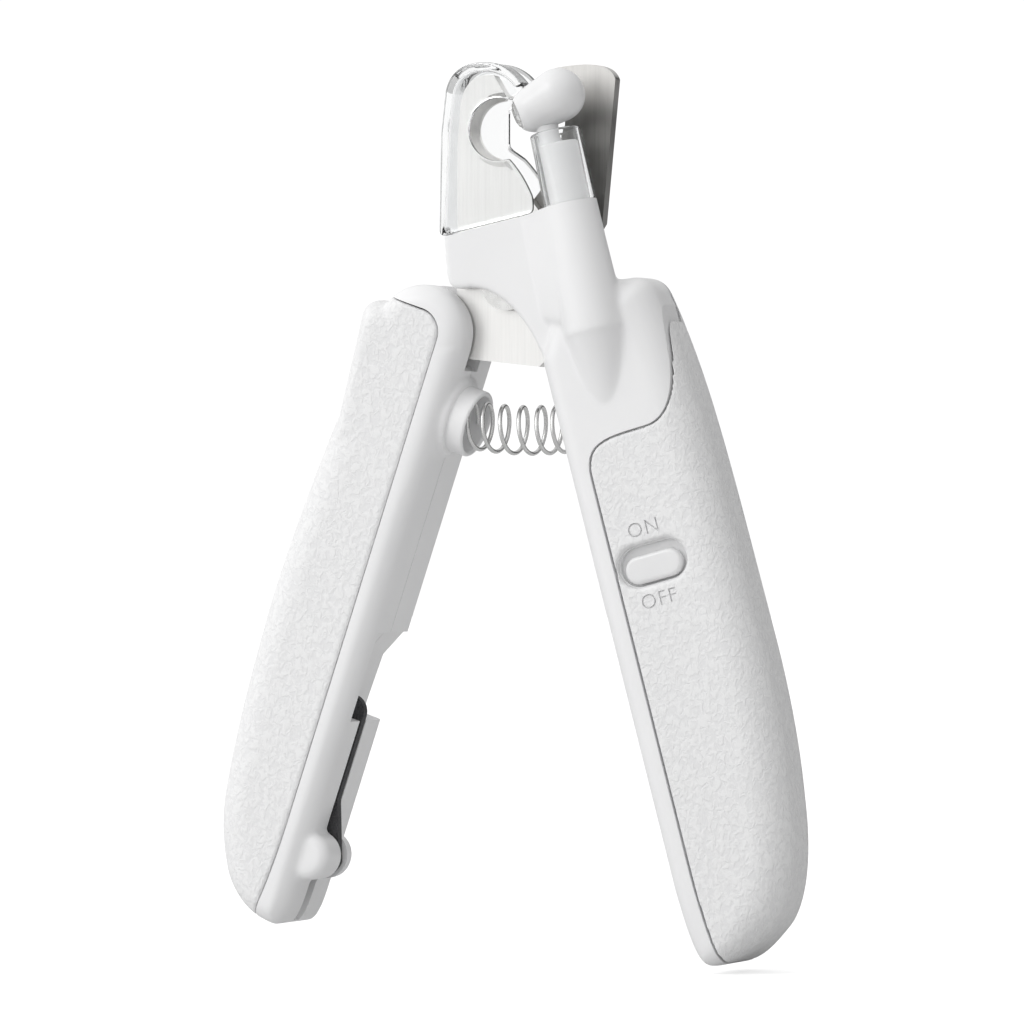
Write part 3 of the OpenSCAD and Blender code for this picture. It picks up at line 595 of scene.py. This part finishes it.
combine(lamp_back, "DIFFERENCE", lamp_pocket, lamp_room, plate(door_line, -4, 3), *lamp_cuts(),
        rod(0, 0, -7, -3.9, 4.7), *screw_bores(lamp_screws))

white_shell = Finish("satin white moulding", Roughness=0.36, Coat_Weight=0.12, Coat_Roughness=0.25)
cloud = white_shell.noise(white_shell.place(), 60, 2)
white_shell.feed("Base Color", white_shell.ramp(cloud, [
    (0.2, (0.845, 0.845, 0.85)), (0.8, (0.875, 0.875, 0.878))]))
fine = white_shell.noise(white_shell.place(), 2600, 2)
white_shell.feed("Roughness", white_shell.spread(fine, 0.32, 0.42))
white_shell.bump(fine, 0.00002, 0.35)

fit(lamp_front, "front_moulding_lamp_handle", "lamp_handle", "shell", white_shell,
    "lamp_handle_front_shell", turn=in_lamp_handle)
fit(lamp_back, "back_moulding_lamp_handle", "lamp_handle", "shell", white_shell,
    "lamp_handle_back_shell", turn=in_lamp_handle)

# ---- Lamp handle grips ----
# Soft white skins with a shallow leather grain, moulded over the faces and the outer side and
# divided at the parting line. ON and OFF are sunk into the front one beside the switch.
lamp_skin_space = skin_tool(lamp_outline, lamp_grip_line, 0.3, 1)
lamp_skin = combine(copy_of(lamp_whole), "INTERSECT", lamp_skin_space)
combine(lamp_skin, "DIFFERENCE", *recess(0.2))


def word(text, x, z, height):
    """Letters as a thin plate, centred at a place on the handle."""
    font = bpy.data.curves.new(text, "FONT")
    font.body = text
    font.size = height / 0.7
    font.align_x = "CENTER"
    font.align_y = "CENTER"
    font.space_character = 1.12
    font.offset = -0.035
    font.extrude = 0.4
    item = bpy.data.objects.new(text, font)
    scene.collection.objects.link(item)
    bpy.context.view_layer.update()
    mesh = bpy.data.meshes.new_from_object(item.evaluated_get(bpy.context.evaluated_depsgraph_get()))
    bpy.data.objects.remove(item)
    shape = bmesh.new()
    shape.from_mesh(mesh)
    bpy.data.meshes.remove(mesh)
    bmesh.ops.remove_doubles(shape, verts=shape.verts, dist=0.0001)
    return moved(shape, Matrix.Translation((x, FRONT, z)) @ Matrix.Rotation(math.pi / 2, 4, "X"))


lamp_skin_front = reskin(split(lamp_skin, -40, LAMP_PARTING - SEAM_GAP / 2), 0.3, 2)
combine(lamp_skin_front, "DIFFERENCE", word("ON", 15.3, -47.5, 2.5), word("OFF", 15.0, -59.8, 2.5))
lamp_skin_back = reskin(split(lamp_skin, LAMP_PARTING + SEAM_GAP / 2, 20), 0.36, 2)
combine(lamp_skin_back, "DIFFERENCE", plate(door_line, -4, 3), *screw_bores(lamp_screws))

grained = Finish("leather grained skin", Roughness=0.5)
wrinkles = grained.noise(grained.place((1, 1, 0.8)), 1000, 2.5, 0.5, 0.9)
pores = grained.noise(grained.place(), 2600, 2)
folds = grained.node("ShaderNodeMapRange", {"interpolation_type": "SMOOTHSTEP"}, {
    "Value": wrinkles, "From Min": 0.36, "From Max": 0.62, "To Min": 0, "To Max": 1})
grained.feed("Base Color", grained.ramp(folds, [(0, (0.80, 0.80, 0.805)), (1, (0.85, 0.85, 0.852))]))
grained.feed("Roughness", grained.spread(pores, 0.44, 0.58))
grained.bump(folds * 0.8 + pores * 0.2, 0.00012, 0.7)
fit(lamp_skin_front, "front_skin_lamp_handle", "lamp_handle", "grip", grained,
    "lamp_grip_front", turn=in_lamp_handle)
fit(lamp_skin_back, "back_skin_lamp_handle", "lamp_handle", "grip", grained,
    "lamp_grip_back", turn=in_lamp_handle)

# ---- File handle shells and grips ----
# The same two halves and skins on the other handle, with a round top round the pivot, a scoop
# for the thumb and a slot along the inner edge that the nail file folds into.
FILE_PARTING = -8.6
file_lean = math.radians(18.6)
in_file_handle = Matrix.Rotation(file_lean, 4, "Y")
FILE_INNER = -3.1
PIN_X, PIN_Z = -3.0, -105.2
SLOT_FRONT, SLOT_BACK = -10.0, -7.2
TOP_X, TOP_Z, TOP_R = -11.5, -12.5, 8.3
CUP_Z = -25
FILE_BLADE_ROOM = (-11.9, -6.1)
file_body_line = turned_round(
    [(FILE_INNER, -60)]
    + curve((FILE_INNER, -109.5), (FILE_INNER, -114.5), (-3.2, -118.3), (-5.2, -118.5))
    + curve((-5.2, -118.5), (-10, -118.6), (-15.5, -116), (-17.7, -112))
    + curve((-17.7, -112), (-19.8, -108.5), (-21.4, -104), (-21.9, -100.6))
    + curve((-21.9, -100.6), (-23.4, -92), (-24.4, -76), (-24.3, -62))
    + curve((-24.3, -62), (-24.2, -52), (-23.4, -40), (-22.4, -30))
    + [(-20, -22), (FILE_INNER, -14)])
file_shoulder_line = turned_round(
    [(-9, -36), (-21, -37)] + curve((-22.1, -30), (-22.2, -24), (-22.6, -18), (-23.4, -14), 8)
    + arc(-20.4, -12.7, 3.1, 175, 90, 12)
    + [(-18.4, -9.4), (-9, -16)])
file_whole = moulded([
    soft_slab(file_body_line, FRONT, 0, outer_edge(-1, FRONT_ROUND), outer_edge(-1, BACK_ROUND)),
    soft_slab(file_shoulder_line, FRONT, 0, 5, 5),
    soft_slab(arc(TOP_X, TOP_Z, TOP_R, 0, 355, 71), FRONT, 0, 3.6, 2.6),
    soft_slab(turned_round([(FILE_INNER, -12.5), (FILE_INNER, -40), (-19.4, -40), (-19.4, -12.5)]),
              FRONT, 0, 3.4, 1.4),
    crossways(-9, -2.1, CUP_Z, 6.9),
    soft_slab(arc(PIN_X, PIN_Z, 4.2, 0, 355, 48), FRONT + 1.5, -4.2, 1.9, 1.2)], SHELL_GRID, 5)

file_grip_line = turned_round(
    [(-9.4, -122.5), (-29, -122.5), (-29, -8.2)]
    + arc(TOP_X, TOP_Z, TOP_R - 4, 90, 0)
    + curve((-7.2, -20), (-7.2, -60), (-7.2, -80), (-7.2, -98.5), 4)
    + curve((-7.2, -98.5), (-7.2, -108.5), (-7.6, -114), (-9.2, -122.5), 10))
file_pocket = skin_tool(file_body_line, file_grip_line, 0, -1)
file_room = hollow_tool(file_body_line, -24)
combine(file_room, "DIFFERENCE", block((-12, -30, -130), (10, 10, -62)))
scoop_line = [(-2.2, -80.6), (-2.2, -64), (-4.2, -64.7), (-6.6, -69.7), (-7, -80.6)]
file_slot_line = [(-10.6, -112.5), (0, -121), (1.5, -105), (1.5, -75.8), (-10.6, -75.8)]
file_screws = [(-14.2, -50), (-15.2, -88), (-18.7, -30)]


def file_cuts():
    """The scoop, the file's slot and pin, and room for the blades, the spring and the tang."""
    return [
        plate(turned_round(scoop_line), FRONT + 3.9, 3),
        plate(file_slot_line, SLOT_FRONT, SLOT_BACK),
        rod(PIN_X, PIN_Z, SLOT_FRONT, SLOT_BACK, 4.6),
        rod(PIN_X, PIN_Z, -15, -2.4, 1.1, segments=32),
        rod(0, 0, *FILE_BLADE_ROOM, 17),
        crossways(-6.2, 8, CUP_Z, 5.9),
        plate([(-16.8, -45), (-5, -45), (-5, -2), (-16.8, -2)], -11.7, -6.65)]


file_front = split(file_whole, -40, FILE_PARTING - SEAM_GAP / 2)
combine(file_front, "DIFFERENCE", file_pocket, file_room, *file_cuts())
file_back = split(file_whole, FILE_PARTING + SEAM_GAP / 2, 20)
combine(file_back, "DIFFERENCE", file_pocket, file_room, *file_cuts(), *screw_bores(file_screws))
fit(file_front, "front_moulding_file_handle", "file_handle", "shell", white_shell,
    "file_handle_front_shell", turn=in_file_handle)
fit(file_back, "back_moulding_file_handle", "file_handle", "shell", white_shell,
    "file_handle_back_shell", turn=in_file_handle)
file_skin_space = skin_tool(file_body_line, file_grip_line, 0.3, -1)
file_skin = combine(copy_of(file_whole), "INTERSECT", file_skin_space)
combine(file_skin, "DIFFERENCE", rod(0, 0, *FILE_BLADE_ROOM, 17))
file_skin_front = reskin(split(file_skin, -40, FILE_PARTING - SEAM_GAP / 2), 0.3, 2)
file_skin_back = reskin(split(file_skin, FILE_PARTING + SEAM_GAP / 2, 20), 0.36, 2)
combine(file_skin_back, "DIFFERENCE", *screw_bores(file_screws))
fit(file_skin_front, "front_skin_file_handle", "file_handle", "grip", grained,
    "file_grip_front", turn=in_file_handle)
fit(file_skin_back, "back_skin_file_handle", "file_handle", "grip", grained,
    "file_grip_back", turn=in_file_handle)
for tool in (lamp_whole, lamp_pocket, lamp_room, lamp_skin, lamp_skin_space, file_whole, file_pocket,
             file_room, file_skin, file_skin_space):
    bpy.data.objects.remove(tool)

# ---- Blades ----
# Two stamped plates of stainless steel. The fixed one has a nail notch ground to a bevel, and a
# lighter steel colour that is painted light; the swinging one is darker, with painted shade below
# its hooked tip. Each runs down into its handle as a tang.
BLADE = 2.3
FIXED_FRONT, MOVING_FRONT = -11.35, -8.95
NOTCH_X, NOTCH_Z = -1.3, 26.6
tang_line = [(6.6, -34), (12.2, -44), (15.2, -44), (16.6, -7), (6.6, -7)]


def blade(front, outline, tang, cuts):
    """A steel plate with its tang, cut and with its edges broken."""
    item = solid(plate(outline, front, front + BLADE))
    tang_part = plate(tang, front, front + BLADE)
    combine(item, "UNION", tang_part)
    combine(item, "DIFFERENCE", *cuts)
    return eased(item, 0.11)


def leaned(line, lean):
    """An outline on a leaning handle, as the upright frame has it."""
    return [(x * math.cos(lean) - z * math.sin(lean), x * math.sin(lean) + z * math.cos(lean))
            for x, z in line]


fixed = blade(
    FIXED_FRONT,
    [(-9.6, 7)] + curve((-9.8, 2), (-9.8, -3), (-9.6, -8), (-9, -12.6), 10)
    + [(-9, -12.6), (5.4, -14.2)] + curve((12, -8), (11, 2), (8, 10), (3.4, 15))
    + curve((3.4, 15), (2, 19), (-1, 20.6), (-3, 22)) + [(-3, 22), (-2.6, 30.6), (-0.6, 32.4)]
    + curve((-2.8, 36), (-5.6, 36.4), (-8.2, 35.6), (-9, 31)) + [(-9, 31), (-9.6, 24)],
    leaned([(x + 1, z) for x, z in tang_line], lamp_lean),
    [rod(NOTCH_X, NOTCH_Z, -15, -4, 5),
     rod(NOTCH_X, NOTCH_Z, FIXED_FRONT - 0.1, FIXED_FRONT + 1.5, 6.5, 4.9),
     rod(0, 0, -15, -4, 2.5)])
moving = blade(
    MOVING_FRONT,
    [(16.1, 10.3)] + curve((18.5, 35), (17.6, 37.6), (14.6, 38.2), (7.4, 37.2))
    + curve((7.4, 37.2), (8.6, 34), (9.8, 30), (9, 26))
    + curve((9, 26), (8, 20), (4, 13), (-4.6, 8.4))
    + arc(0, 0, 9.4, 120, 180) + [(-9.6, -6), (-4, -9.6), (4, -9), (9.4, -2), (10.6, 2)],
    leaned([(-x, z) for x, z in turned_round(tang_line)], -file_lean),
    [rod(0, 0, -15, -4, 2.55)])


def ground_steel_with_painted_shade(name, shade, turn, painted_shade_below, unshaded_above, painted_shade_level):
    """Steel with fine parallel grinding lines, its colour darkened below a height by painted shade."""
    steel = Finish(name, Metallic=1.0)
    lines = steel.noise(steel.place((1, 1, 0.03), turn), 2400, 4, 0.6)
    patches = steel.noise(steel.place(), 90, 3)
    mixed = lines * 0.75 + patches * 0.25
    height = steel.node("ShaderNodeSeparateXYZ", {}, {0: steel.place()}, "Z")
    # Painted shade: this mask darkens the colour below a height.
    painted_shade_mask = steel.node("ShaderNodeMapRange", {"interpolation_type": "SMOOTHSTEP"}, {
        "Value": height, "From Min": painted_shade_below * MM, "From Max": unshaded_above * MM,
        "To Min": painted_shade_level, "To Max": 1})
    steel.feed("Base Color", steel.ramp(mixed * 0.3 + painted_shade_mask * 0.7, [
        (0.0, (0.12, 0.117, 0.11)), (0.45, tuple(c * 0.5 for c in shade)),
        (0.8, tuple(c * 0.88 for c in shade)), (0.95, shade)]))
    steel.feed("Roughness", steel.spread(lines, 0.24, 0.42))
    steel.bump(lines, 0.00001, 0.5)
    return steel


# The fixed blade's steel is a lighter copy of the same steel, painted light for the brightness it shows
# under the clear catcher.
fixed_steel_painted_light = ground_steel_with_painted_shade(
    "ground stainless steel", (0.88, 0.875, 0.86), (0, 0, 0), -30, -20, 0.9)
# The swinging blade's steel is a darker copy, with strong painted shade below its hooked tip where shade
# and dark reflections fall.
swung_painted_shade = ground_steel_with_painted_shade(
    "ground stainless steel, swung", (0.72, 0.71, 0.69), (0, math.radians(38), 0), 27, 33, 0.1)
fit(fixed, "notched_blade", "lamp_handle", "blade_steel", fixed_steel_painted_light, "fixed_blade")
fit(moving, "hooked_blade", "file_handle", "blade_steel", swung_painted_shade, "moving_blade")

# ---- Nail catcher ----
# One clear moulding with thick rounded edges that slides up off the head. It is open on the side
# where the swinging blade enters, and its front is bored at the notch.
catcher_line = (
    [(-12.3, 8.35), (5.2, 12.15)] + curve((5, 15), (3.8, 17.4), (3, 19.4), (-0.6, 22.8), 12)
    + [(-2.6, 23.9), (-2.6, 30.4), (0.7, 31.3)]
    + curve((3.7, 33.2), (1.6, 37), (-1.6, 38.4), (-4.6, 38.2), 14)
    + curve((-4.6, 38.2), (-7.8, 38.2), (-10.7, 36.8), (-11.3, 32.6), 14) + [(-12.0, 26)])
catcher = eased(solid(plate(catcher_line, -14, -4)), 0.8, 3)
combine(catcher, "DIFFERENCE",
        plate(inset(catcher_line, 1.2), -12.8, -5.2),
        block((-10.5, -12.8, 0), (7.5, -5.2, 22)), block((-6.3, -12.8, 10), (7.7, -5.2, 34)),
        block((-9.9, -9.4, 20), (10.1, -6.2, 42)), rod(NOTCH_X, NOTCH_Z, -15, -5.2, 5.4))
reskin(catcher, 0.24, 2)


def clear_plastic(name, tint, roughness):
    """Clear plastic that lets most of the light through to what it covers, its colour darkened towards
    edge-on places as painted shade and reflection.
    """
    clear = Finish(name, Transmission_Weight=1.0, IOR=1.49)
    haze = clear.noise(clear.place(), 240, 2)
    painted_edge_slant = clear.node("ShaderNodeLayerWeight", {}, {"Blend": 0.5}, "Facing")
    # Painted shade and reflection: the colour darkens where the surface turns edge-on, standing in for
    # the dark edges that refraction shows.
    shade = clear.ramp(painted_edge_slant + haze * 0.04, [
        (0.3, (0.985, 0.99, 0.992)), (0.52, tint), (0.66, tuple(c * 0.55 for c in tint)),
        (0.82, tuple(c * 0.16 for c in tint))])
    clear.feed("Base Color", shade)
    clear.feed("Roughness", clear.spread(haze, roughness, roughness + 0.03))
    clear.bump(clear.noise(clear.place(), 130, 1), 0.00008, 0.4)
    shadow = clear.node("ShaderNodeLightPath", {}, {}, "Is Shadow Ray")
    mix = clear.node("ShaderNodeMixShader", {}, {
        0: shadow, 1: Value(clear, clear.shader.outputs[0]),
        2: clear.node("ShaderNodeBsdfTransparent", {}, {})})
    clear.tree.links.new(mix.socket, clear.tree.nodes["Material Output"].inputs["Surface"])
    return clear


clear = clear_plastic("clear polycarbonate", (0.84, 0.85, 0.855), 0.01)
fit(catcher, "clear_nail_catcher", "catcher", "clear", clear, "nail_catcher", sharp=70)

# ---- Lamp collar, sleeve, neck and head ----
# A clear collar stands on the tube with a white sleeve inside it. A thin neck carries the white
# capsule, which has the lamp's lens in the end over the notch.
collar = turned([(3.6, 10.35), (4.45, 10.35), (4.5, 10.5)]
                + [(4.05 + 0.45 * math.cos(math.radians(a)), 22.6 + 0.4 * math.sin(math.radians(a)))
                   for a in range(0, 181, 20)])
sleeve = turned([(2.5, 7.5), (3.3, 7.5), (3.4, 7.7)]
                + [(3.0 + 0.4 * math.cos(math.radians(a)), 20.4 + 0.4 * math.sin(math.radians(a)))
                   for a in range(0, 91, 15)] + [(1.6, 20.8), (1.6, 19.6), (2.5, 19.4)])
neck = turned([(1.0, 20.8), (2.2, 20.8), (2.15, 21.2), (1.9, 21.9), (1.85, 22.9), (2.0, 24.2),
               (1.0, 24.2)])
at_tube = Matrix.Translation((TUBE_X, TUBE_Y, 0))
at_neck = Matrix.Translation((TUBE_X - 1.4, TUBE_Y, 0))
lens_end = (TUBE_X - 2.9, TUBE_Y - 0.2, 27.6)
lens_place = (Matrix.Translation(lens_end) @ Matrix.Rotation(math.radians(205), 4, "Z")
              @ Matrix.Rotation(math.radians(100), 4, "Y"))
lamp_head = solid(blob((TUBE_X + 1.8, TUBE_Y, 28.9, 4.6), (*lens_end, 4.0)))
combine(lamp_head, "DIFFERENCE", moved(upright(0, 0, 1, 7, 2.6), lens_place),
        moved(upright(0, 0, 20, 24.1, 1.9), at_neck))
eased(lamp_head, 0.15, 2, 50)
lens = turned([(0, 2.3), (2.45, 2.3), (2.5, 2.5), (2.4, 3.0), (2.0, 3.4), (1.2, 3.7), (0, 3.8)])
smooth_white = Finish("smooth white moulding", Coat_Weight=0.25, Coat_Roughness=0.15)
sheen = smooth_white.noise(smooth_white.place(), 300, 2)
smooth_white.feed("Base Color", smooth_white.ramp(sheen, [
    (0.2, (0.80, 0.80, 0.805)), (0.8, (0.83, 0.83, 0.832))]))
smooth_white.feed("Roughness", smooth_white.spread(sheen, 0.28, 0.36))
# The sleeve's white is lighter than the other white mouldings: painted light that makes up for the light
# the clear collar holds back.
sleeve_white_painted_light = Finish("white sleeve with painted light")
veil = sleeve_white_painted_light.noise(sleeve_white_painted_light.place(), 260, 2)
sleeve_white_painted_light.feed("Base Color", sleeve_white_painted_light.ramp(veil, [
    (0.2, (0.93, 0.93, 0.93)), (0.8, (0.96, 0.96, 0.96))]))
sleeve_white_painted_light.feed("Roughness", sleeve_white_painted_light.spread(veil, 0.3, 0.4))
frosted = clear_plastic("frosted lens", (0.95, 0.95, 0.94), 0.2)
fit(solid(moved(collar, at_tube)), "clear_collar", "lamp_handle", "clear", clear, "lamp_collar",
    turn=in_tube)
fit(solid(moved(sleeve, at_tube)), "white_sleeve", "lamp_handle", "lamp_white", sleeve_white_painted_light,
    "lamp_sleeve", turn=in_tube)
fit(solid(moved(neck, at_neck)), "waisted_neck", "lamp_handle", "lamp_white", smooth_white,
    "lamp_neck", turn=in_tube)
fit(lamp_head, "white_capsule", "lamp_handle", "lamp_white", smooth_white, "lamp_head", turn=in_tube)
fit(solid(moved(lens, lens_place)), "domed_lens", "lamp_handle", "lens", frosted, "lamp_lens",
    turn=in_tube)

# ---- Switch button ----
# A smooth white slide with round ends, low in its sloped recess, with a stem that works the
# switch on the board.
BUTTON_Z = -54.1
button = solid(soft_slab(stadium(SWITCH_X, BUTTON_Z, 10.5, 4.8), -17.6, -16.0, 0.75, 0.2))
combine(button, "UNION", block((SWITCH_X - 2.6, -16.3, -55.1), (SWITCH_X + 2.6, -13.1, -53.1)))
fit(eased(button, 0.06), "slide_button", "switch", "shell", smooth_white, "switch_button",
    turn=in_lamp_handle)

# ---- Spring cup ----
# A white ring moulded round the end of the spring, standing out of the file handle with a
# rounded rim.
cup = turned([(0, -6.2), (5.8, -6.2), (5.9, -6.0), (5.9, 0.6)]
             + [(5.45 + 0.45 * math.cos(math.radians(a)), 0.65 + 0.45 * math.sin(math.radians(a)))
                for a in range(0, 181, 20)] + [(5.0, -2.3), (4.8, -2.5), (0, -2.5)])
along_x = Matrix.Translation((0, MIDDLE, CUP_Z)) @ Matrix.Rotation(math.pi / 2, 4, "Y")
fit(solid(moved(cup, along_x)), "spring_ring", "file_handle", "shell", white_shell, "spring_cup",
    turn=in_file_handle)

# ---- Handle spring ----
# Six turns of bright drawn wire, held between the cup on the file handle and the seat in the
# lamp handle. It sags a little in the middle.
TURNS, WIRE, COIL = 6, 0.75, 4.4


def spring_middle(t):
    """The coil's own middle line, from the cup at 0 to the seat at 1."""
    return Vector((-8.6 + 18.5 * t, MIDDLE, -23.9 - 0.8 * t - 2.8 * t * (1 - t)))


def wire_middle(u):
    """The wire's middle line, with its end turns a little closer."""
    turn = 2 * math.pi * TURNS * u
    middle = spring_middle(u - 0.02 * math.sin(2 * math.pi * u))
    return middle + (COIL - WIRE / 2) * Vector((0, math.cos(turn), math.sin(turn)))


coil = bmesh.new()
rings = []
RING_COUNT, RING_SIDES = 360, 14
for i in range(RING_COUNT + 1):
    u = i / RING_COUNT
    here = wire_middle(u)
    along = (wire_middle(u + 0.001) - wire_middle(u - 0.001)).normalized()
    out = (here - spring_middle(u)).normalized()
    up = along.cross(out).normalized()
    flat = up.cross(along)
    rings.append([coil.verts.new(here + WIRE / 2 * (math.cos(a) * flat + math.sin(a) * up))
                  for a in (2 * math.pi * k / RING_SIDES for k in range(RING_SIDES))])
for first, second in zip(rings, rings[1:]):
    for k in range(RING_SIDES):
        nxt = (k + 1) % RING_SIDES
        coil.faces.new((first[k], first[nxt], second[nxt], second[k]))
coil.faces.new(rings[0])
coil.faces.new(rings[-1])
wire = Finish("bright drawn wire", Metallic=1.0)
drawn = wire.noise(wire.place(), 1500, 2)
wire.feed("Base Color", wire.ramp(drawn, [(0.2, (0.70, 0.70, 0.70)), (0.8, (0.80, 0.80, 0.79))]))
wire.feed("Roughness", wire.spread(drawn, 0.16, 0.28))
spring = fit(solid(coil), "coil_spring", None, "spring_steel", wire, "handle_spring", rides=False)
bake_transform(spring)

# ---- Nail file ----
# A steel strip coated with dark grit, round at its pin and at its tip. It lies folded in the
# slot of the file handle and swings out on the pin through the knuckle.
file_line = (
    arc(PIN_X, PIN_Z, 3.7, 180, 360, 24)
    + [(PIN_X, -95), (PIN_X, -80)] + arc(PIN_X - 3, -79.8, 3, 0, 180, 24) + [(PIN_X - 6, -95)])
nail_file = solid(plate(file_line, -9.4, -7.8))
combine(nail_file, "DIFFERENCE", rod(PIN_X, PIN_Z, -12, -5, 1.15, segments=32))
grit = Finish("dark grit on steel", Metallic=0.3)
grains = grit.noise(grit.place(), 3200, 3, 0.7)
grit.feed("Base Color", grit.ramp(grains, [(0.35, (0.028, 0.028, 0.03)), (0.7, (0.10, 0.10, 0.105))]))
grit.feed("Roughness", grit.spread(grains, 0.5, 0.75))
grit.bump(grains, 0.00006, 0.9)
fit(eased(nail_file, 0.12), "grit_file", "file", "file_steel", grit, "nail_file", turn=in_file_handle)

# ---- Battery door and screws ----
# A white door lies flush in the back of the lamp handle, with three grooves for the thumb and one
# screw. Six longer cross-head screws, sunk in their holes, hold the two cases together.
DOOR_SCREW = (16.1, -94.3)
HEAD_TOP = -1.6
CASE_SCREW_LENGTH = 9.8
door = solid(plate(inset(door_line, 0.1), -3, -0.15))
combine(door, "DIFFERENCE", rod(*DOOR_SCREW, HEAD_TOP, 1, 2.1, segments=32),
        rod(*DOOR_SCREW, -4, 1, 1.2, segments=32),
        *[block((13.1, -0.75, z), (19.1, 1, z + 0.5)) for z in (-78.2, -77.0, -75.8)])
fit(eased(door, 0.2), "ribbed_door", "lamp_handle", "shell", white_shell, "battery_door",
    turn=in_lamp_handle)


def screw(x, z, back, length):
    """A pan-head screw with a cross recess, seen from the back."""
    item = solid(moved(
        turned([(0, -1.3 - length), (0.7, -1.3 - length), (1.05, -0.9 - length), (1.05, -1.3),
                (1.95, -1.3), (2.0, -1.1), (1.85, -0.4), (1.3, -0.08), (0, 0)], 40),
        Matrix.Translation((x, back, z)) @ Matrix.Rotation(-math.pi / 2, 4, "X")))
    return combine(item, "DIFFERENCE",
                   block((x - 1.15, back - 0.8, z - 0.2), (x + 1.15, back + 1, z + 0.2)),
                   block((x - 0.2, back - 0.8, z - 1.15), (x + 0.2, back + 1, z + 1.15)))


def joined(items):
    """Several finished objects as one."""
    shape = bmesh.new()
    for item in items:
        shape.from_mesh(item.data)
        bpy.data.objects.remove(item)
    return solid(shape)


plated = Finish("bright plated steel", Metallic=1.0)
rubbed = plated.noise(plated.place(), 800, 3)
plated.feed("Base Color", plated.ramp(rubbed, [(0.2, (0.62, 0.62, 0.61)), (0.8, (0.74, 0.74, 0.73))]))
plated.feed("Roughness", plated.spread(rubbed, 0.2, 0.34))
fit(joined([screw(x, z, HEAD_TOP, CASE_SCREW_LENGTH) for x, z in lamp_screws]),
    "cross_screws_lamp_handle", "lamp_handle", "bright_steel", plated, "lamp_handle_screws",
    turn=in_lamp_handle)
fit(joined([screw(x, z, HEAD_TOP, CASE_SCREW_LENGTH) for x, z in file_screws]),
    "cross_screws_file_handle", "file_handle", "bright_steel", plated, "file_handle_screws",
    turn=in_file_handle)
fit(screw(*DOOR_SCREW, -0.3, 3.2), "cross_screw_door", "lamp_handle", "bright_steel", plated,
    "battery_door_screw", turn=in_lamp_handle)

# ---- Inside ----
# The pivot's bolt, nut and washers, and the lamp's cells, contacts, board, wires and light, which
# the mouldings mostly hide. They keep the meshes they come with and are given their finishes.


def dress(finish, *nodes):
    """Gives each part that stays as it came this finish."""
    for node in nodes:
        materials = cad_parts[node].data.materials
        materials.clear()
        materials.append(finish.made)


def plain(name, dark, light, rough, **constants):
    """A finish that varies a little between two colours."""
    made = Finish(name, **constants)
    varied = made.noise(made.place(), 500, 2)
    made.feed("Base Color", made.ramp(varied, [(0.25, dark), (0.75, light)]))
    made.feed("Roughness", made.spread(varied, rough, rough + 0.12))
    return made


dress(plated, "pivot_bolt", "pivot_nut", "pivot_washers", "button_cells", "file_pin")
dress(white_shell, "spring_seat")
dress(plain("red insulation", (0.42, 0.03, 0.02), (0.55, 0.05, 0.03), 0.4), "lamp_wires")
dress(plain("green laminate", (0.02, 0.16, 0.06), (0.03, 0.24, 0.09), 0.35), "circuit_board")
dress(plain("black moulding", (0.02, 0.02, 0.02), (0.04, 0.04, 0.04), 0.45), "switch_body")
dress(plain("grey moulding", (0.55, 0.55, 0.54), (0.63, 0.63, 0.62), 0.45), "battery_tray")
dress(plain("spring brass", (0.62, 0.45, 0.18), (0.76, 0.58, 0.27), 0.25, Metallic=1.0),
      "battery_contacts")
dress(plain("amber white epoxy", (0.85, 0.78, 0.55), (0.93, 0.88, 0.68), 0.15), "lamp_led")
